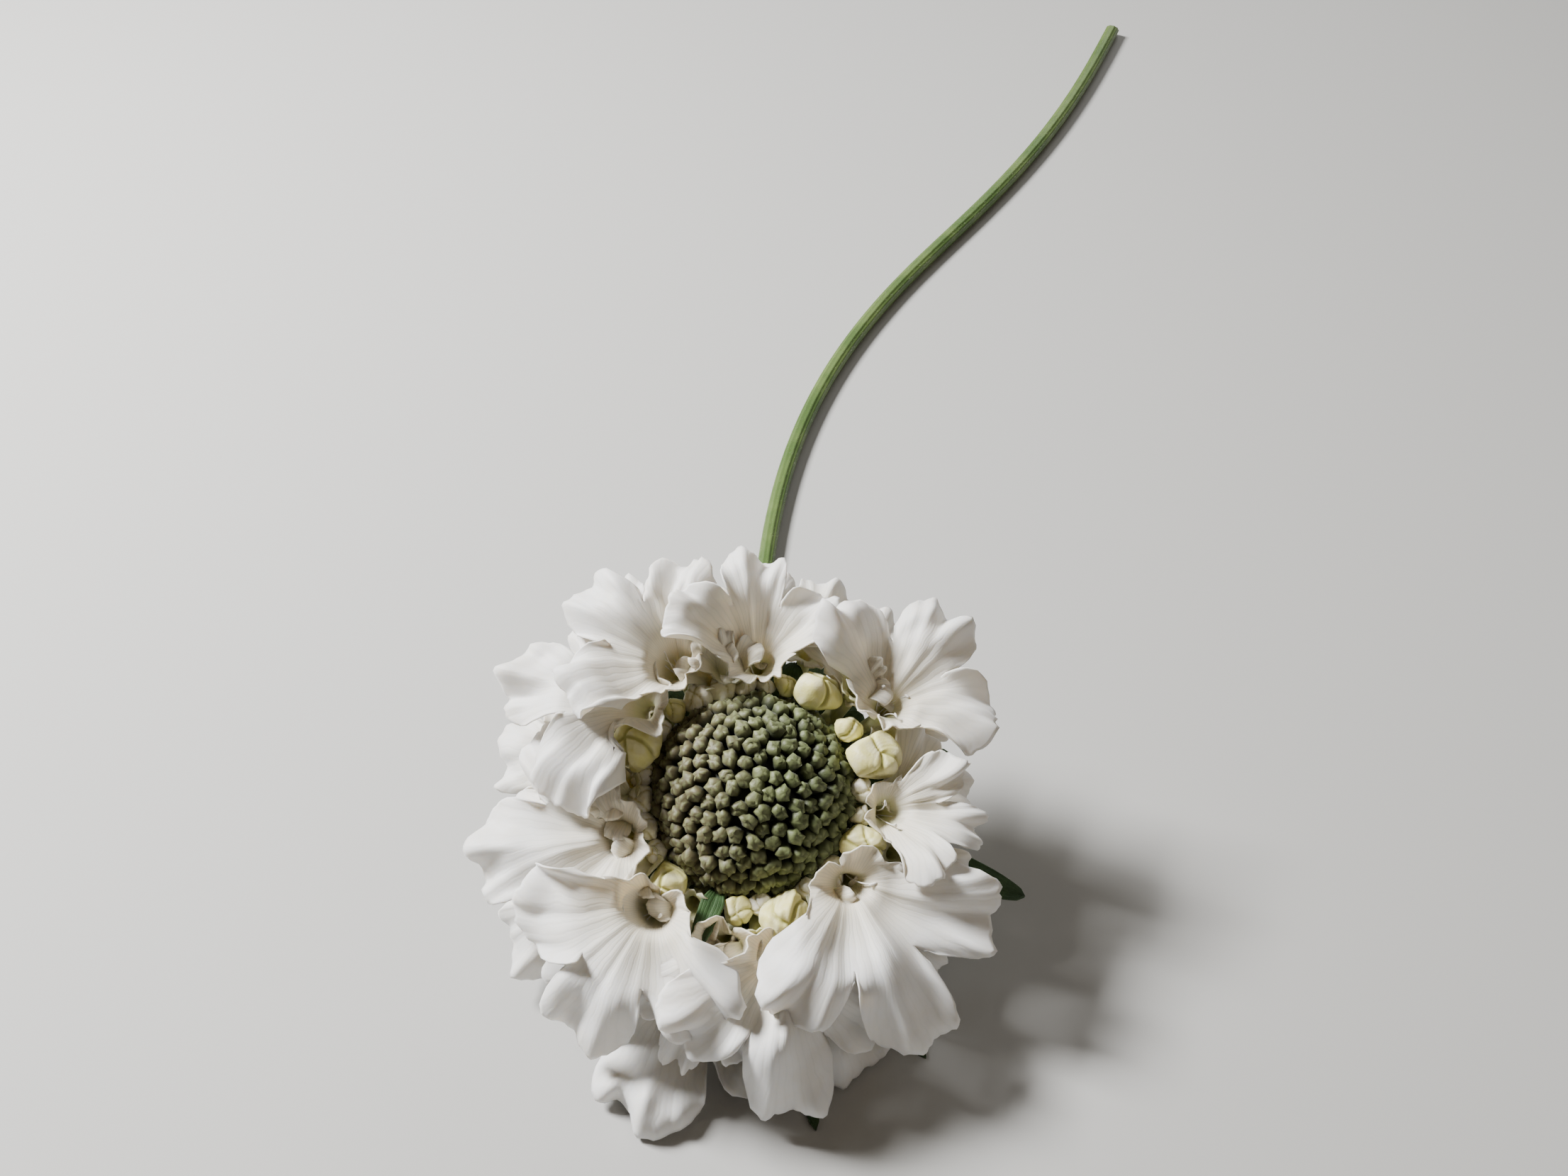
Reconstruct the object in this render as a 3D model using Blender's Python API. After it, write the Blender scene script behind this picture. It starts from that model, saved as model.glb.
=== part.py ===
"""A cut scabiosa flower lying on a table, its head turned up on a bent neck.

Metres, +Z up, the table top at Z = 0. The head is laid out in a frame of its own: x to the right and y up
as one looks into the flower, z out of its face, with the origin where the stem meets the head.
"""

import math

import bmesh
import bpy
import numpy as np
from mathutils import Matrix, Vector

MM = 0.001
GAP = 0.3 * MM
SAME_POINT = 0.02 * MM
SLIVER = 0.01 * MM
SHARP_FROM = math.radians(50)

# Where the head stands on the table, and how far its face is turned up from level
HEAD_BASE = Vector((-35 * MM, -135.5 * MM, 15.4 * MM))
FACE_UP = math.radians(60)

# Stem: a long, faintly ribbed stalk, thicker towards its slanting cut
STEM_LENGTH = 350 * MM
STEM_RADIUS_TOP = 1.6 * MM
STEM_RADIUS_CUT = 2.1 * MM
STEM_COLLAR_RADIUS = 2.2 * MM
STEM_COLLAR_LENGTH = 5 * MM
STEM_SIDES = 12
STEM_RIB_DEPTH = 0.07
STEM_STEP = 12 * MM
NECK_STEP = 3 * MM
CUT_SLANT = math.radians(38)
STEM_BEND = math.radians(34)
STEM_BEND_BACK = math.radians(13)
# The neck runs straight out of the head for a little, then bends, ever more gently towards the level stem
NECK_STRAIGHT = 1.5 * MM
NECK_EASE = 1.5

# Receptacle: three storeys of one knob, which carry the bracts, the white florets and the cream ones
CUP_TOP = 4.0 * MM
CUP_PROFILE = [
    (STEM_COLLAR_RADIUS, 0),
    (5.6 * MM, 1.3 * MM),
    (8.5 * MM, 2.6 * MM),
    (8.5 * MM, 3.4 * MM),
    (7.5 * MM, CUP_TOP),
]
CUP_SIDES = 16
CORE_SIDES = 20
WHITE_CORE_RADIUS = 11.0 * MM
WHITE_CORE_FOOT = 9.3 * MM
WHITE_CORE_Z = (CUP_TOP + GAP, 5.3 * MM, 7.4 * MM)
CREAM_CORE_RADIUS = 10.0 * MM
CREAM_CORE_Z = (WHITE_CORE_Z[-1] + GAP, 9.6 * MM)
DISC_CORE_RADIUS = 13.5 * MM
DISC_CORE_Z = CREAM_CORE_Z[1] + GAP
DISC_CORE_HEIGHT = 8.6 * MM

# Bracts, green blades under the petals: (direction, length, width, rise)
BRACTS = [
    (14, 27 * MM, 6.2 * MM, 13),
    (47, 25 * MM, 5.0 * MM, 11),
    (83, 30 * MM, 5.4 * MM, 12),
    (118, 24 * MM, 5.0 * MM, 11),
    (152, 31 * MM, 5.6 * MM, 12),
    (184, 26 * MM, 5.2 * MM, 11),
    (216, 30 * MM, 5.0 * MM, 12),
    (249, 28 * MM, 5.6 * MM, 12),
    (281, 45 * MM, 5.2 * MM, 15),
    (304, 42 * MM, 5.0 * MM, 11),
    (341, 40 * MM, 7.0 * MM, 13),
]
BRACT_ROOT_RADIUS = 6.5 * MM
BRACT_ROOT_Z = 2.0 * MM
BRACT_ARCH = math.radians(18)
BRACT_FOLD = 0.22
BRACT_THICKNESS = 0.8 * MM

# White florets, lowest first, each with
# direction from the axis, distance and height of its throat, length of its outer lobe, share of the full
# spread that its fan opens to, turn about its own tube, rise of the outer lobe, rise of the side lobes
RAY_FLORETS = [
    (70, 24.5 * MM, 7.4 * MM, 16 * MM, 0.95, 0, 6, 16),
    (108, 24.5 * MM, 7.2 * MM, 16 * MM, 0.95, 12, 6, 14),
    (168, 25.0 * MM, 7.2 * MM, 20 * MM, 1.00, 2, 6, 16),
    (212, 25.5 * MM, 7.4 * MM, 22 * MM, 1.00, 2, 6, 18),
    (250, 26.0 * MM, 7.6 * MM, 29 * MM, 0.95, 2, 12, 18),
    (294, 25.5 * MM, 7.6 * MM, 22 * MM, 0.95, -8, 10, 18),
    (24, 23.0 * MM, 8.0 * MM, 13 * MM, 0.95, 0, 10, 18),
    (338, 23.5 * MM, 8.0 * MM, 15 * MM, 0.95, 0, 10, 18),
    (200, 20.0 * MM, 12.2 * MM, 27 * MM, 1.10, -13, 26, 32),
    (262, 22.5 * MM, 12.4 * MM, 22 * MM, 0.60, -16, 28, 46),
    (141, 20.5 * MM, 12.6 * MM, 26 * MM, 1.05, 27, 30, 32),
    (230, 22.5 * MM, 12.4 * MM, 26 * MM, 1.05, 10, 28, 32),
    (121, 22.0 * MM, 13.2 * MM, 23 * MM, 0.95, 21, 32, 36),
    (281, 24.0 * MM, 12.4 * MM, 26 * MM, 0.95, -8, 26, 36),
    (88, 19.5 * MM, 12.8 * MM, 21 * MM, 1.05, 4, 34, 42),
    (318, 19.5 * MM, 12.6 * MM, 30 * MM, 1.05, -24, 28, 42),
    (32, 24.0 * MM, 12.6 * MM, 22 * MM, 1.10, 22, 30, 32),
    (352, 20.0 * MM, 12.0 * MM, 18 * MM, 0.85, -4, 34, 54),
    (100, 18.8 * MM, 14.0 * MM, 10 * MM, 1.00, 0, 30, 36),
    (179, 18.8 * MM, 13.6 * MM, 10 * MM, 1.00, 0, 28, 32),
    (242, 19.0 * MM, 13.6 * MM, 10 * MM, 1.00, 0, 30, 36),
    (45, 22.6 * MM, 13.6 * MM, 9 * MM, 1.00, 0, 30, 36),
    (114, 18.8 * MM, 14.0 * MM, 8 * MM, 1.00, 0, 30, 36),
    (189, 18.8 * MM, 13.4 * MM, 8 * MM, 1.00, 0, 30, 36),
    (206, 18.8 * MM, 13.6 * MM, 8 * MM, 1.00, 0, 30, 36),
    (272, 22.4 * MM, 13.6 * MM, 9 * MM, 1.00, 0, 30, 36),
    (304, 19.0 * MM, 13.4 * MM, 8 * MM, 1.00, 0, 30, 36),
]
# Tubes: rooted evenly round the knob, from this direction on
FIRST_ROOT = math.radians(15)
TUBE_ROOT_RADIUS = 9.5 * MM
TUBE_ROOT_Z = 6.2 * MM
TUBE_RADII = [1.2 * MM, 1.0 * MM, 0.9 * MM]
TUBE_KNEE = 5.5 * MM
TUBE_KNEE_SHARE = 0.13
TUBE_BELOW = 1.2 * MM
THROAT_INSIDE = 1.1 * MM
LEAN = math.radians(34)
FLARE = math.radians(83)
FLARE_SHARE = 0.26
CURL = math.radians(80)
CURL_FROM = 0.35
INNER_SLOPE = 8
NOTCH = 0.55
SLIT = 0.1
MARGIN_ROUND = 0.3
MARGIN_POWER = 2.3
FULL_SIZE = 24 * MM
PETAL_THICKNESS = 0.65 * MM
# Lobes round the throat: direction, half angle, share of the floret's length, share of the ruffles, columns
LOBES = [
    (0, 33, 1.0, 1.0, 4),
    (66, 33, 0.84, 1.0, 3),
    (140, 41, 0.28, 0.4, 1),
    (221, 40, 0.26, 0.4, 1),
    (294, 33, 0.84, 1.0, 3),
]
JOINED_ROWS = 2
FREE_ROWS = 2
SMALL_FLORET = 12 * MM
RUFFLE = 2.6 * MM
FOLD = 1.0 * MM
LAYER_GAP = 1.3 * MM
LIFT_FROM = 2 * MM
LIFT_OVER = 4 * MM
MOST_LIFT = 8 * MM
SMALL_LIFT = 0.3
PRESSED = 0.35 * MM

# Cream florets still shut, round the disc: (direction, distance from the axis, height, radius)
CREAM_BUDS = [
    (16, 19.6 * MM, 15.0 * MM, 3.8 * MM),
    (34, 18.4 * MM, 14.2 * MM, 2.1 * MM),
    (57, 19.2 * MM, 14.6 * MM, 3.4 * MM),
    (73, 18.2 * MM, 13.8 * MM, 1.9 * MM),
    (133, 18.2 * MM, 14.0 * MM, 2.0 * MM),
    (158, 19.6 * MM, 15.0 * MM, 3.7 * MM),
    (227, 19.0 * MM, 14.4 * MM, 2.9 * MM),
    (263, 18.2 * MM, 14.0 * MM, 2.0 * MM),
    (286, 19.6 * MM, 15.0 * MM, 3.7 * MM),
    (334, 19.0 * MM, 14.6 * MM, 3.1 * MM),
]
CREAM_ROOT_RADIUS = 9.5 * MM
CREAM_STALK_RADIUS = 0.75 * MM
CREAM_STALK_SIDES = 5
CREAM_KNEE = 2 * MM
CREAM_KNEE_RISE = 0.1 * MM
CREAM_LEAN = 0.5
# Outline of a shut floret along its own axis, both in shares of its radius, and its pointed tip
CREAM_BUD_SHAPE = [(-0.95, 0.4), (-0.4, 0.94), (0.35, 0.94), (0.85, 0.5)]
CREAM_BUD_SIDES = 6
CREAM_BUD_TIP = 0.12
CREAM_CLEARANCE = 0.9 * MM
DISC_CLEAR_RADIUS = 16.8 * MM

# Disc: shut green florets in a golden-angle spiral over a dome
DISC_BUDS = 140
DISC_BUD_LENGTH = 2.5 * MM
DISC_BUD_SHOULDER = 1.6 * MM
DISC_BUD_WIDTH = 0.85
DISC_SKIRT_RADIUS = 12.8 * MM
DISC_SKIRT_SIDES = 28
DISC_LOWEST_BUD = 2.6 * MM
DISC_FOOT_TILT = math.radians(84)
DISC_SPREAD = 0.55
GOLDEN_ANGLE = math.pi * (3 - math.sqrt(5))

# The map of heights that florets are laid on, and how far a lift is carried and evened, in cells
MAP_HALF = 66 * MM
MAP_CELL = 0.75 * MM
LIFT_REACH = 4
LIFT_BLUR = 2

MATERIALS = {
    "stem_green": ((0.13, 0.20, 0.055), 0.55),
    "bract_green": ((0.045, 0.12, 0.035), 0.5),
    "petal_white": ((0.83, 0.83, 0.81), 0.6),
    "bud_cream": ((0.78, 0.77, 0.48), 0.5),
    "disc_green": ((0.25, 0.31, 0.17), 0.6),
}


def clear_scene():
    for obj in list(bpy.data.objects):
        bpy.data.objects.remove(obj, do_unlink=True)


def make_material(name):
    colour, roughness = MATERIALS[name]
    material = bpy.data.materials.new(name)
    material.use_nodes = True
    shader = material.node_tree.nodes["Principled BSDF"]
    shader.inputs["Base Color"].default_value = (*colour, 1)
    shader.inputs["Roughness"].default_value = roughness
    shader.inputs["Metallic"].default_value = 0
    return material


def smooth(t):
    """0 below 0, 1 above 1, and an even curve between them."""
    t = np.clip(t, 0, 1)
    return t * t * (3 - 2 * t)


def head_matrix():
    """Carries the head's own frame into the world."""
    right = Vector((1, 0, 0))
    up = Vector((0, math.sin(FACE_UP), math.cos(FACE_UP)))
    out = right.cross(up)
    turn = Matrix((right, up, out)).transposed().to_4x4()
    return Matrix.Translation(HEAD_BASE) @ turn


def new_object(name, mesh, material):
    """An object that shades smoothly but for its sharp edges."""
    obj = bpy.data.objects.new(name, mesh)
    finish(mesh, material)
    bpy.context.scene.collection.objects.link(obj)
    return obj


def finish(mesh, material):
    mesh.materials.clear()
    mesh.materials.append(material)
    mesh.shade_smooth()
    mesh.set_sharp_from_angle(angle=SHARP_FROM)


def mesh_of(bm, name):
    bmesh.ops.recalc_face_normals(bm, faces=bm.faces)
    mesh = bpy.data.meshes.new(name)
    bm.to_mesh(mesh)
    bm.free()
    return mesh


def rings_mesh(name, rings, tip=Vector()):
    """A closed skin over rings of points, each end filled by a fan, the last one's middle raised by tip."""
    bm = bmesh.new()
    rows = [[bm.verts.new(point) for point in ring] for ring in rings]
    count = len(rows[0])
    for low, high in zip(rows, rows[1:]):
        for k in range(count):
            bm.faces.new((low[k], low[(k + 1) % count], high[(k + 1) % count], high[k]))
    for row, raised in ((rows[0], Vector()), (rows[-1], tip)):
        middle = bm.verts.new(sum((v.co for v in row), Vector()) / count + raised)
        for k in range(count):
            bm.faces.new((row[k], row[(k + 1) % count], middle))
    bmesh.ops.triangulate(bm, faces=[f for f in bm.faces if len(f.verts) > 3])
    return mesh_of(bm, name)


def turned_mesh(name, profile, sides, matrix):
    """A solid of revolution about the head's axis, from (radius, height) pairs."""
    turns = [2 * math.pi * k / sides for k in range(sides)]
    rings = [[Vector((r * math.cos(a), r * math.sin(a), z)) for a in turns] for r, z in profile]
    mesh = rings_mesh(name, rings)
    mesh.transform(matrix)
    return mesh


def fuse(name, core, meshes, material):
    """One body made of a core and the meshes rooted in it, by a single union, with sealed hollows filled."""
    body = new_object(name, core, material)
    repeats = bpy.data.collections.new(name + "_repeats")
    bpy.context.scene.collection.children.link(repeats)
    for mesh in meshes:
        repeats.objects.link(bpy.data.objects.new(mesh.name, mesh))
    union = body.modifiers.new("union", "BOOLEAN")
    union.operation = "UNION"
    union.operand_type = "COLLECTION"
    union.collection = repeats
    union.solver = "MANIFOLD"
    bpy.context.view_layer.update()
    evaluated = body.evaluated_get(bpy.context.evaluated_depsgraph_get())
    fused = bpy.data.meshes.new_from_object(evaluated)
    body.modifiers.remove(union)
    body.data = fused
    for obj in list(repeats.objects):
        bpy.data.objects.remove(obj, do_unlink=True)
    bpy.data.collections.remove(repeats)
    keep_outer_skin(fused)
    finish(fused, material)


def halve_chords(bm):
    """Halves each edge between two far corners of another face, which triangles could otherwise double."""
    chords = set()
    for face in bm.faces:
        corners = set(face.verts)
        spokes = {e for v in corners for e in v.link_edges} - set(face.edges)
        chords |= {e for e in spokes if set(e.verts) <= corners}
    bmesh.ops.subdivide_edges(bm, edges=list(chords), cuts=1)


def shrink_slivers(bm):
    """Shrinks the edges too short to see to points, wherever the skin stays closed."""
    for edge in [e for e in bm.edges if e.calc_length() < SLIVER]:
        if edge.is_valid:
            first, second = ({e.other_vert(v) for e in v.link_edges} for v in edge.verts)
            if len(first & second) == 2:
                bmesh.ops.collapse(bm, edges=[edge])


def part_touching(bm):
    """Draws in, by a hair, the points where the skin touches itself."""
    bm.normal_update()
    places = {}
    for vert in bm.verts:
        places.setdefault(vert.co.to_tuple(6), []).append(vert)
    for verts in places.values():
        if len(verts) > 1:
            for vert in verts:
                vert.co -= vert.normal * SLIVER


def keep_outer_skin(mesh):
    """Deletes every skin but the largest, so that no hollow stays sealed inside and no scrap stays loose."""
    bm = bmesh.new()
    bm.from_mesh(mesh)
    halve_chords(bm)
    bmesh.ops.triangulate(bm, faces=bm.faces)
    shrink_slivers(bm)
    part_touching(bm)
    left = set(bm.verts)
    skins = []
    while left:
        skin = {left.pop()}
        edge_of_search = set(skin)
        while edge_of_search:
            reached = {e.other_vert(v) for v in edge_of_search for e in v.link_edges} - skin
            skin |= reached
            edge_of_search = reached
        left -= skin
        skins.append(skin)
    skins.sort(key=len)
    for skin in skins[:-1]:
        bmesh.ops.delete(bm, geom=list(skin), context="VERTS")
    bm.to_mesh(mesh)
    bm.free()


def table_in_head(y):
    """Height of the table top in the head's frame, at height y up the face."""
    return (-HEAD_BASE.z - y * math.cos(FACE_UP)) / math.sin(FACE_UP)


def over_window(array, half, combine):
    """The array combined with itself shifted by up to half cells each way."""
    for axis in (0, 1):
        array = combine([np.roll(array, shift, axis) for shift in range(-half, half + 1)])
    return array


class HeightMap:
    """The highest thing so far over each cell of the head's plane, starting from the table."""

    def __init__(self):
        self.count = 2 * int(MAP_HALF / MAP_CELL) + 1
        at = (np.arange(self.count) - self.count // 2) * MAP_CELL
        resting = table_in_head(at) + PETAL_THICKNESS / 2 / math.sin(FACE_UP)
        self.top = np.broadcast_to(resting - LAYER_GAP, (self.count, self.count)).copy()

    def cell(self, points):
        index = np.rint(points[..., :2] / MAP_CELL).astype(int) + self.count // 2
        return tuple(np.moveaxis(index, -1, 0))

    def add(self, grids):
        for points in map(filled, grids):
            np.maximum.at(self.top, self.cell(points), points[..., 2])

    def lift(self, grids):
        """The even rise, cell by cell, that carries a floret clear of what lies below it."""
        lowest = np.full_like(self.top, np.inf)
        for points in map(filled, grids):
            np.minimum.at(lowest, self.cell(points), points[..., 2])
        lift = np.clip(self.top + LAYER_GAP - lowest, 0, MOST_LIFT)
        lift = over_window(lift, LIFT_REACH, lambda shifted: np.max(shifted, axis=0))
        for _ in range(2):
            lift = over_window(lift, LIFT_BLUR, lambda shifted: np.mean(shifted, axis=0))
        return lift


def blade_mesh(name, grids, thickness, matrix, tube=None):
    """A closed blade of even thickness about grids of points that share some of their edges.

    A floret given as the tube closes its throat, where the grids start, and goes on down its tube.
    """
    sheet = bmesh.new()
    for grid in grids:
        rows = [[sheet.verts.new(point) for point in row] for row in grid]
        for low, high in zip(rows, rows[1:]):
            for k in range(len(low) - 1):
                sheet.faces.new((low[k], low[k + 1], high[k + 1]))
                sheet.faces.new((low[k], high[k + 1], high[k]))
    bmesh.ops.remove_doubles(sheet, verts=sheet.verts, dist=SAME_POINT)
    bmesh.ops.recalc_face_normals(sheet, faces=sheet.faces)
    sheet.verts.ensure_lookup_table()
    sheet.verts.index_update()
    solid = bmesh.new()
    front = [solid.verts.new(v.co + v.normal * thickness / 2) for v in sheet.verts]
    back = [solid.verts.new(v.co - v.normal * thickness / 2) for v in sheet.verts]
    for face in sheet.faces:
        a, b, c = (v.index for v in face.verts)
        solid.faces.new((front[a], front[b], front[c]))
        solid.faces.new((back[a], back[c], back[b]))
    throat = ring_at_start(sheet, grids) if tube else []
    for edge in sheet.edges:
        a, b = (v.index for v in edge.verts)
        if edge.is_boundary and not {a, b} <= set(throat):
            solid.faces.new((front[b], front[a], back[a]))
            solid.faces.new((front[b], back[a], back[b]))
    sheet.free()
    if tube:
        rings = tube.tube_rings(len(throat) // 2)
        add_tube(solid, [front[k] for k in throat], [back[k] for k in throat], rings)
    bmesh.ops.transform(solid, matrix=matrix, verts=solid.verts)
    for v in solid.verts:
        if v.co.z < PRESSED:
            v.co.z = 0
    return mesh_of(solid, name)


def ring_at_start(sheet, grids):
    """The numbers of the sheet's points along the first rows of the grids, which close a ring."""
    points = [Vector(point) for grid in grids for point in grid[0][:-1]]
    return [min(sheet.verts, key=lambda v: (v.co - point).length).index for point in points]


def fan(bm, ring, middle):
    for a, b in zip(ring, ring[1:] + ring[:1]):
        bm.faces.new((a, b, middle))


def add_tube(bm, floor_ring, wall_ring, rings):
    """Closes the throat with a floor, and carries its outer ring, at half its sides, down the tube."""
    fan(bm, floor_ring, bm.verts.new(sum((v.co for v in floor_ring), Vector()) / len(floor_ring)))
    rows = [[bm.verts.new(point) for point in ring] for ring in rings]
    count = len(rows[0])
    for k in range(count):
        first, second, third = (wall_ring[(2 * k + step) % (2 * count)] for step in range(3))
        here, ahead = rows[0][k], rows[0][(k + 1) % count]
        bm.faces.new((first, second, here))
        bm.faces.new((second, third, ahead))
        bm.faces.new((second, ahead, here))
    for low, high in zip(rows, rows[1:]):
        for k in range(count):
            ahead = (k + 1) % count
            bm.faces.new((low[k], low[ahead], high[ahead]))
            bm.faces.new((low[k], high[ahead], high[k]))
    fan(bm, rows[-1], bm.verts.new(sum((v.co for v in rows[-1]), Vector()) / count))


def filled(grid, steps=12):
    """The grid's points and those between them, close enough to reach every cell of the map."""
    for axis in (0, 1):
        low = np.take(grid, range(grid.shape[axis] - 1), axis)
        high = np.take(grid, range(1, grid.shape[axis]), axis)
        grid = np.concatenate([low + (high - low) * k / steps for k in range(steps + 1)], axis)
    return grid


def bract_grid(direction, length, width, rise, columns=2, rows=5):
    """Points of a green blade that leaves the cup's rim, folded a little along its midrib."""
    t, across = np.meshgrid(np.linspace(0, 1, rows + 1), np.linspace(-1, 1, columns + 1), indexing="ij")
    outline = 0.5 * width * (0.5 + 0.5 * smooth(t / 0.4)) * np.sqrt(np.clip(1.03 - t**3, 0, 1))
    slope = math.radians(rise) + BRACT_ARCH * (0.3 - t)
    run = BRACT_ROOT_RADIUS + length * t * np.cos(slope)
    climb = BRACT_ROOT_Z + length * t * np.sin(slope) + BRACT_FOLD * outline * np.abs(across)
    side = outline * across
    a = math.radians(direction)
    x = run * math.cos(a) - side * math.sin(a)
    y = run * math.sin(a) + side * math.cos(a)
    return np.stack([x, y, climb], -1)


def around(degrees, values):
    """An even curve round the throat through one value for each lobe."""
    at = np.array([lobe[0] for lobe in LOBES] + [360 + LOBES[0][0]], float)
    values = np.array([*values, values[0]], float)
    degrees = degrees % 360
    low = np.clip(np.searchsorted(at, degrees, "right") - 1, 0, len(at) - 2)
    share = smooth((degrees - at[low]) / (at[low + 1] - at[low]))
    return values[low] * (1 - share) + values[low + 1] * share


class Floret:
    """A white floret: a tube that opens into five lobes, three of them large and ruffled."""

    def __init__(self, number, root, direction, distance, height, length, spread, turn, rise, cup):
        random = np.random.default_rng(98 + number)
        a = math.radians(direction)
        turned = math.radians(direction + turn)
        up = np.array([0.0, 0.0, 1.0])
        self.away = np.array([math.cos(a), math.sin(a), 0.0])
        self.root = np.array([math.cos(root), math.sin(root), 0.0]) * TUBE_ROOT_RADIUS + up * TUBE_ROOT_Z
        self.throat = self.away * distance + up * height
        outward = np.array([math.cos(turned), math.sin(turned), 0.0])
        self.axis = up * math.cos(LEAN) + outward * math.sin(LEAN)
        self.out = outward * math.cos(LEAN) - up * math.sin(LEAN)
        self.side = np.cross(self.axis, self.out)
        self.distance = distance
        self.length = length
        self.size = min(length / FULL_SIZE, 1)
        self.spread = spread
        self.slopes = [math.degrees(LEAN) + rise, cup, INNER_SLOPE, INNER_SLOPE, cup]
        self.fold_phases = random.uniform(0, 2 * math.pi, 2)
        self.wave_phases = random.uniform(0, 2 * math.pi, (len(LOBES), 2))
        self.bows = random.uniform(-1, 1, len(LOBES))

    def fanned(self, degrees):
        """Directions round the throat, drawn towards the outer lobe in a narrow floret."""
        signed = (degrees + 180) % 360 - 180
        return np.radians(signed * (self.spread + (1 - self.spread) * (signed / 180) ** 2))

    def profile(self, degrees, path):
        """(distance from the throat, height over it, slope) at a path length up the limb."""
        slope = np.radians(around(degrees, self.slopes))
        steps = 12
        along = np.zeros_like(path)
        height = np.zeros_like(path)
        for k in range(steps):
            q = (k + 0.5) / steps * path / self.length
            angle = slope + (FLARE - slope) * np.clip(1 - q / FLARE_SHARE, 0, 1) ** 2
            angle = angle - CURL * np.clip((q - CURL_FROM) / (1 - CURL_FROM), 0, 1) ** 1.5
            along += np.cos(angle) * path / steps
            height += np.sin(angle) * path / steps
        return along, height, angle

    def lobe_points(self, number, u, s):
        """Points of one lobe: u runs across it from -1 to 1, s from the throat at 0 to the margin at 1."""
        middle, half, share, ruffle, _ = LOBES[number]
        free = np.clip((s - NOTCH) / (1 - NOTCH), 0, 1)
        joined = middle + half * u
        spoke_angle = self.fanned(middle + half * u * (1 - SLIT * smooth(free)))
        joined_length = NOTCH * around(joined, [lobe[2] for lobe in LOBES]) * self.length
        whole_length = share * self.length * (1 - MARGIN_ROUND * np.abs(u) ** MARGIN_POWER)
        whole_length = np.maximum(whole_length, joined_length * 1.12)
        path = np.minimum(s / NOTCH, 1) * joined_length + free * (whole_length - joined_length)
        along, height, angle = self.profile(joined, path)
        spoke = np.cos(spoke_angle)[..., None] * self.out + np.sin(spoke_angle)[..., None] * self.side
        points = self.throat + spoke * (THROAT_INSIDE + along)[..., None] + self.axis * height[..., None]
        normal = self.axis * np.cos(angle)[..., None] - spoke * np.sin(angle)[..., None]
        p = self.wave_phases[number]
        wave = np.sin(2.1 * math.pi * u + 1.5 * s + p[0]) + 0.6 * np.sin(3.4 * math.pi * u + p[1])
        bow = self.bows[number] * (u * u - 0.4)
        push = smooth(free) * ruffle * self.size * RUFFLE * (0.55 * wave + 0.5 * bow)
        turns = np.radians(joined)
        folds = np.sin(3 * turns + self.fold_phases[0]) + 0.7 * np.sin(5 * turns + self.fold_phases[1])
        deep = FOLD * self.size * smooth(s / NOTCH) * (1 - 0.4 * free)
        push = push + deep * around(joined, [1, 1, 0.2, 0.2, 1]) * folds
        return points + normal * push[..., None]

    def grids(self):
        """A grid of points for each lobe, meeting its neighbours' from the throat to the notch."""
        made = []
        small = self.length < SMALL_FLORET
        for number, (_, _, share, _, columns) in enumerate(LOBES):
            free_rows = 1 if small or share < 0.5 else FREE_ROWS
            joined = np.linspace(0, NOTCH, (1 if small else JOINED_ROWS) + 1)
            s = np.concatenate([joined, np.linspace(NOTCH, 1, free_rows + 1)[1:]])
            across = np.linspace(-1, 1, (min(columns, 2) if small else columns) + 1)
            s, u = np.meshgrid(s, across, indexing="ij")
            made.append(self.lobe_points(number, u, s))
        return made

    def tube_rings(self, sides):
        """Rings down the tube, from under the throat to the knob."""
        knee_z = TUBE_ROOT_Z + TUBE_KNEE_SHARE * (self.throat[2] - TUBE_ROOT_Z)
        path = [
            Vector(self.throat),
            Vector(self.throat - self.axis * TUBE_BELOW),
            Vector(self.away * (self.distance - TUBE_KNEE) + np.array([0, 0, knee_z])),
            Vector(self.root),
        ]
        rings = []
        for k in (1, 2, 3):
            along = path[k - 1] - path[min(k + 1, 3)]
            turn = Vector(self.axis).rotation_difference(along)
            ring = []
            for j in range(sides):
                a = 2 * math.pi * j / sides - math.radians(LOBES[0][1])
                spoke = Vector(math.cos(a) * self.out + math.sin(a) * self.side)
                ring.append(path[k] + turn @ spoke * TUBE_RADII[k - 1])
            rings.append(ring)
        return rings


def limb_mesh(name, points, radii, sides, matrix, tip=0.0):
    """A round limb through the points, with a radius at each and a point of height tip on its end."""
    rings = []
    turns = [2 * math.pi * k / sides for k in range(sides)]
    for k, (point, radius) in enumerate(zip(points, radii)):
        along = points[min(k + 1, len(points) - 1)] - points[max(k - 1, 0)]
        turn = along.to_track_quat("Z", "Y").to_matrix()
        rings.append([point + turn @ Vector((radius * math.cos(a), radius * math.sin(a), 0)) for a in turns])
    mesh = rings_mesh(name, rings, tip * (points[-1] - points[-2]).normalized())
    mesh.transform(matrix)
    return mesh


def clear_of_cream(points):
    """The points moved out from the head's axis, as far as the disc and the cream florets need."""
    points = points.copy()
    distance = np.hypot(points[..., 0], points[..., 1])
    away = points[..., :2] / distance[..., None]
    points[..., :2] += away * np.maximum(DISC_CLEAR_RADIUS - distance, 0)[..., None]
    for direction, bud_distance, height, radius in CREAM_BUDS:
        a = math.radians(direction)
        centre = np.array([bud_distance * math.cos(a), bud_distance * math.sin(a), height])
        apart = points - centre
        outward = (apart[..., :2] * away).sum(-1)
        inside = (radius + CREAM_CLEARANCE) ** 2 - (apart**2).sum(-1)
        move = np.where(inside > 0, np.sqrt(np.maximum(outward**2 + inside, 0)) - outward, 0)
        points[..., :2] += away * move[..., None]
    return points


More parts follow.
